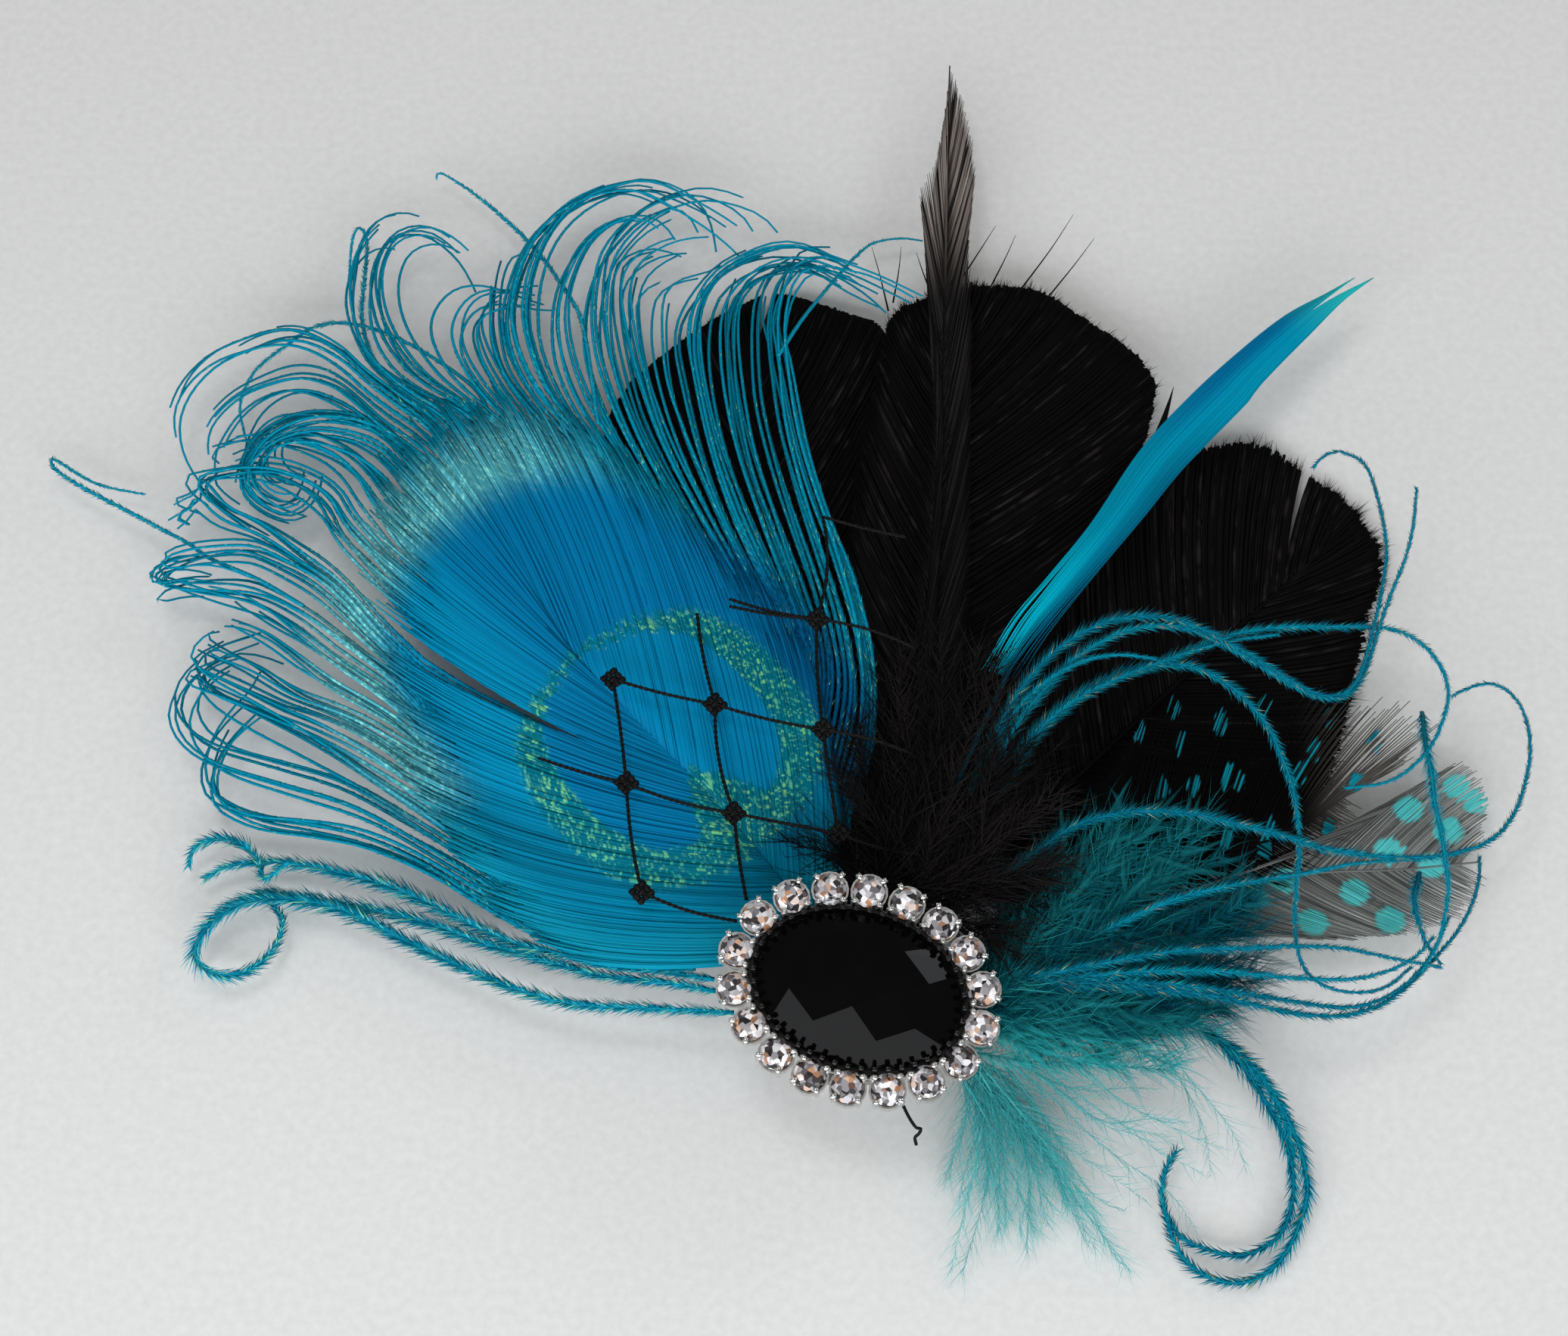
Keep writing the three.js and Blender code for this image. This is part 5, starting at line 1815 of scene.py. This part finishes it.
# %% [markdown]
# ## Brooch
# The brooch keeps its solids: a cut oval stone, eighteen small brilliants and a silver setting. Small metal
# parts that a jeweller adds last are new pieces: a rounded bead on each claw's tip, and the teeth of the
# bezel that hold the oval stone. One bead and one tooth are modelled and then copied round the oval.

# %% Copies round an oval
BROOCH = Matrix.Translation((0, 1, 13.2)) @ Matrix.Rotation(math.radians(10), 4, "X")
BROOCH = BROOCH @ Matrix.Rotation(math.radians(-18), 4, "Z")
OVAL_POINTS = 2001


def oval_places(long, short, count):
    """Places and outward turns, evenly spaced round an oval from its right end."""
    angle = np.linspace(0, 2 * np.pi, OVAL_POINTS)
    length = np.cumsum(np.hypot(np.diff(long * np.cos(angle)), np.diff(short * np.sin(angle))))
    length = np.concatenate([[0], length])
    for even in np.interp(np.linspace(0, length[-1], count, endpoint=False), length, angle):
        x, y = long * math.cos(even), short * math.sin(even)
        yield x, y, math.atan2(y / short**2, x / long**2)


def choose_faces(model, wanted):
    """Goes into edit mode with the faces selected whose normal passes a test."""
    bpy.ops.object.mode_set(mode="EDIT")
    bpy.ops.mesh.select_mode(type="FACE")
    bpy.ops.mesh.select_all(action="DESELECT")
    bpy.ops.object.mode_set(mode="OBJECT")
    for face in model.data.polygons:
        face.select = wanted(face.normal)
    bpy.ops.object.mode_set(mode="EDIT")


def copied(name, model, places, finish):
    """Copies of one model at each matrix, joined into one piece."""
    copies = []
    for place in places:
        twin = bpy.data.objects.new(name, model.data.copy())
        twin.data.transform(Matrix.Scale(MM, 4) @ BROOCH @ place)
        bpy.context.scene.collection.objects.link(twin)
        copies.append(twin)
    bpy.data.objects.remove(model)
    bpy.ops.object.select_all(action="DESELECT")
    for twin in copies:
        twin.select_set(True)
    bpy.context.view_layer.objects.active = copies[0]
    bpy.ops.object.join()
    made = bpy.context.object
    made.name = name
    made.data.materials.clear()
    made.data.materials.append(finish.material)
    bpy.ops.object.shade_smooth()
    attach(made, "root")
    print(name, "copies", len(copies), "faces", len(made.data.polygons))


print("brooch at", [round(value, 1) for value in BROOCH.to_translation()])

# %% [markdown]
# The silver is bright and a little worn. Inside the bezel it is black. The bead starts as a sphere that is
# squashed, with its underside pulled down to the claw.

# %% Silver and beads
RHINESTONES = 18
CLAWS = 4
RING_LONG = 15.1
RING_SHORT = 11.6
BEAD_RADIUS = 0.42
BEAD_HEIGHT = 3.35
BEAD_REACH = 2.05  # from the middle of a rhinestone to its claws

silver = Finish("bright_silver")
silver_wear = silver.noise(silver.spot(BROOCH), 1.8, detail=3.0)
silver_inside = (silver.axis("X", BROOCH) / 13.5) ** 2 + (silver.axis("Y", BROOCH) / 10.0) ** 2
silver_black = silver_inside.smooth(1.06, 0.96)
silver_bright = silver.blend(silver_wear, tint(190, 188, 184), tint(240, 239, 236))
silver.set(
    Base_Color=silver.blend(silver_black, silver_bright, tint(7, 6, 6)),
    Metallic=1 - 0.7 * silver_black,
    Roughness=0.12 + 0.16 * silver_wear,
)

bpy.ops.object.select_all(action="DESELECT")
bpy.ops.mesh.primitive_uv_sphere_add(segments=10, ring_count=6, radius=BEAD_RADIUS)
bead = bpy.context.object
bead.data.transform(Matrix.Diagonal((1.15, 0.9, 0.8, 1)))
choose_faces(bead, lambda normal: normal.z < -0.6)
bpy.ops.mesh.extrude_region_move(TRANSFORM_OT_translate={"value": (0.08, 0.0, -0.45)})
bpy.ops.transform.resize(value=(0.7, 0.8, 1.0), center_override=(0.08, 0.0, -0.7))
bpy.ops.object.mode_set(mode="OBJECT")
bead_places = []
for x, y, turn in oval_places(RING_LONG, RING_SHORT, RHINESTONES):
    for claw in range(CLAWS):
        spin = Matrix.Rotation(turn + math.radians(45 + 90 * claw), 4, "Z")
        out = Matrix.Translation((BEAD_REACH, 0, 0))
        bead_places.append(Matrix.Translation((x, y, BEAD_HEIGHT)) @ spin @ out)
copied("claw_beads", bead, bead_places, silver)

# %% [markdown]
# A tooth of the bezel is a block whose top is inset and pushed towards the stone, with rounded edges. The
# teeth are darker than the rest of the setting.

# %% Dark rim and teeth
TEETH = 44
TEETH_LONG = 12.8
TEETH_SHORT = 9.3
TOOTH_HEIGHT = 3.3

rim = Finish("dark_rim")
rim.set(
    Base_Color=rim.blend(rim.noise(rim.spot(), 1.2), tint(16, 15, 15), tint(60, 58, 56)),
    Metallic=0.8,
    Roughness=0.25,
)

bpy.ops.object.select_all(action="DESELECT")
bpy.ops.mesh.primitive_cube_add(size=1)
tooth = bpy.context.object
tooth.data.transform(Matrix.Diagonal((0.55, 0.62, 0.5, 1)))
choose_faces(tooth, lambda normal: normal.z > 0.9)
bpy.ops.mesh.inset(thickness=0.08)
bpy.ops.transform.translate(value=(-0.1, 0.0, 0.12))
bpy.ops.object.mode_set(mode="OBJECT")
tooth_bevel = tooth.modifiers.new("round", "BEVEL")
tooth_bevel.width = 0.14
tooth_bevel.segments = 2
bpy.ops.object.modifier_apply(modifier="round")
tooth_places = []
for x, y, turn in oval_places(TEETH_LONG, TEETH_SHORT, TEETH):
    tooth_places.append(Matrix.Translation((x, y, TOOTH_HEIGHT)) @ Matrix.Rotation(turn, 4, "Z"))
copied("bezel_teeth", tooth, tooth_places, rim)

# %% [markdown]
# The oval stone is black glass with a faint smear. The rhinestones have foil behind them, so each facet
# throws back one bright or dark part of the room. A pattern of cells gives every patch of a stone its own
# glint, which looks much the same and needs no traced glass. The clip is plain brushed steel.

# %% Finishes of the stones and the clip
CRYSTAL_CELLS = 1.5
CRYSTAL_GLINTS = [
    (0.05, tint(26, 24, 26)),
    (0.2, tint(62, 57, 60)),
    (0.34, tint(206, 202, 204)),
    (0.48, tint(82, 77, 83)),
    (0.6, tint(252, 250, 250)),
    (0.72, tint(190, 140, 104)),
    (0.82, tint(46, 42, 45)),
    (0.95, tint(248, 248, 252)),
]

black_glass = Finish("black_glass")
glass_smear = black_glass.noise(black_glass.spot(), 0.3)
black_glass.set(
    Base_Color=black_glass.blend(glass_smear, tint(3, 3, 3), tint(8, 7, 7)),
    Roughness=0.03 + 0.04 * glass_smear,
    Specular_IOR_Level=0.068,
)

crystal = Finish("clear_crystal")
crystal_inputs = {"Vector": crystal.spot(), "Scale": CRYSTAL_CELLS}
crystal_cell = crystal.node("ShaderNodeTexVoronoi", None, crystal_inputs, output="Color")
crystal_pick = crystal.node("ShaderNodeSeparateColor", None, {"Color": crystal_cell}, output="Red")
crystal.set(
    Base_Color=crystal.node("ShaderNodeValToRGB", {"stops": CRYSTAL_GLINTS}, {"Fac": crystal_pick}),
    Metallic=0.1,
    Roughness=0.06,
    Coat_Weight=0.2,
)

clip_metal = Finish("clip_steel")
clip_brushed = clip_metal.vector(clip_metal.axis("X") * 0.2, clip_metal.axis("Y") * 2, clip_metal.axis("Z"))
clip_wear = clip_metal.noise(clip_brushed, 1.0)
clip_metal.set(
    Base_Color=clip_metal.blend(clip_wear, tint(120, 120, 122), tint(176, 176, 178)),
    Metallic=1.0,
    Roughness=0.3,
)
print("finishes", black_glass.material.name, crystal.material.name, clip_metal.material.name)


# %% Finishes on the solids
def dress(node, finish):
    """A CAD node keeps its mesh and takes a finish."""
    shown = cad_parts[node]
    shown.data.materials.clear()
    shown.data.materials.append(finish.material)


dress("hair_clip", clip_metal)
dress("setting", silver)
dress("oval_stone", black_glass)
for number in range(1, RHINESTONES + 1):
    dress(f"rhinestone_{number:02d}", crystal)
print("solids with finishes", RHINESTONES + 3)
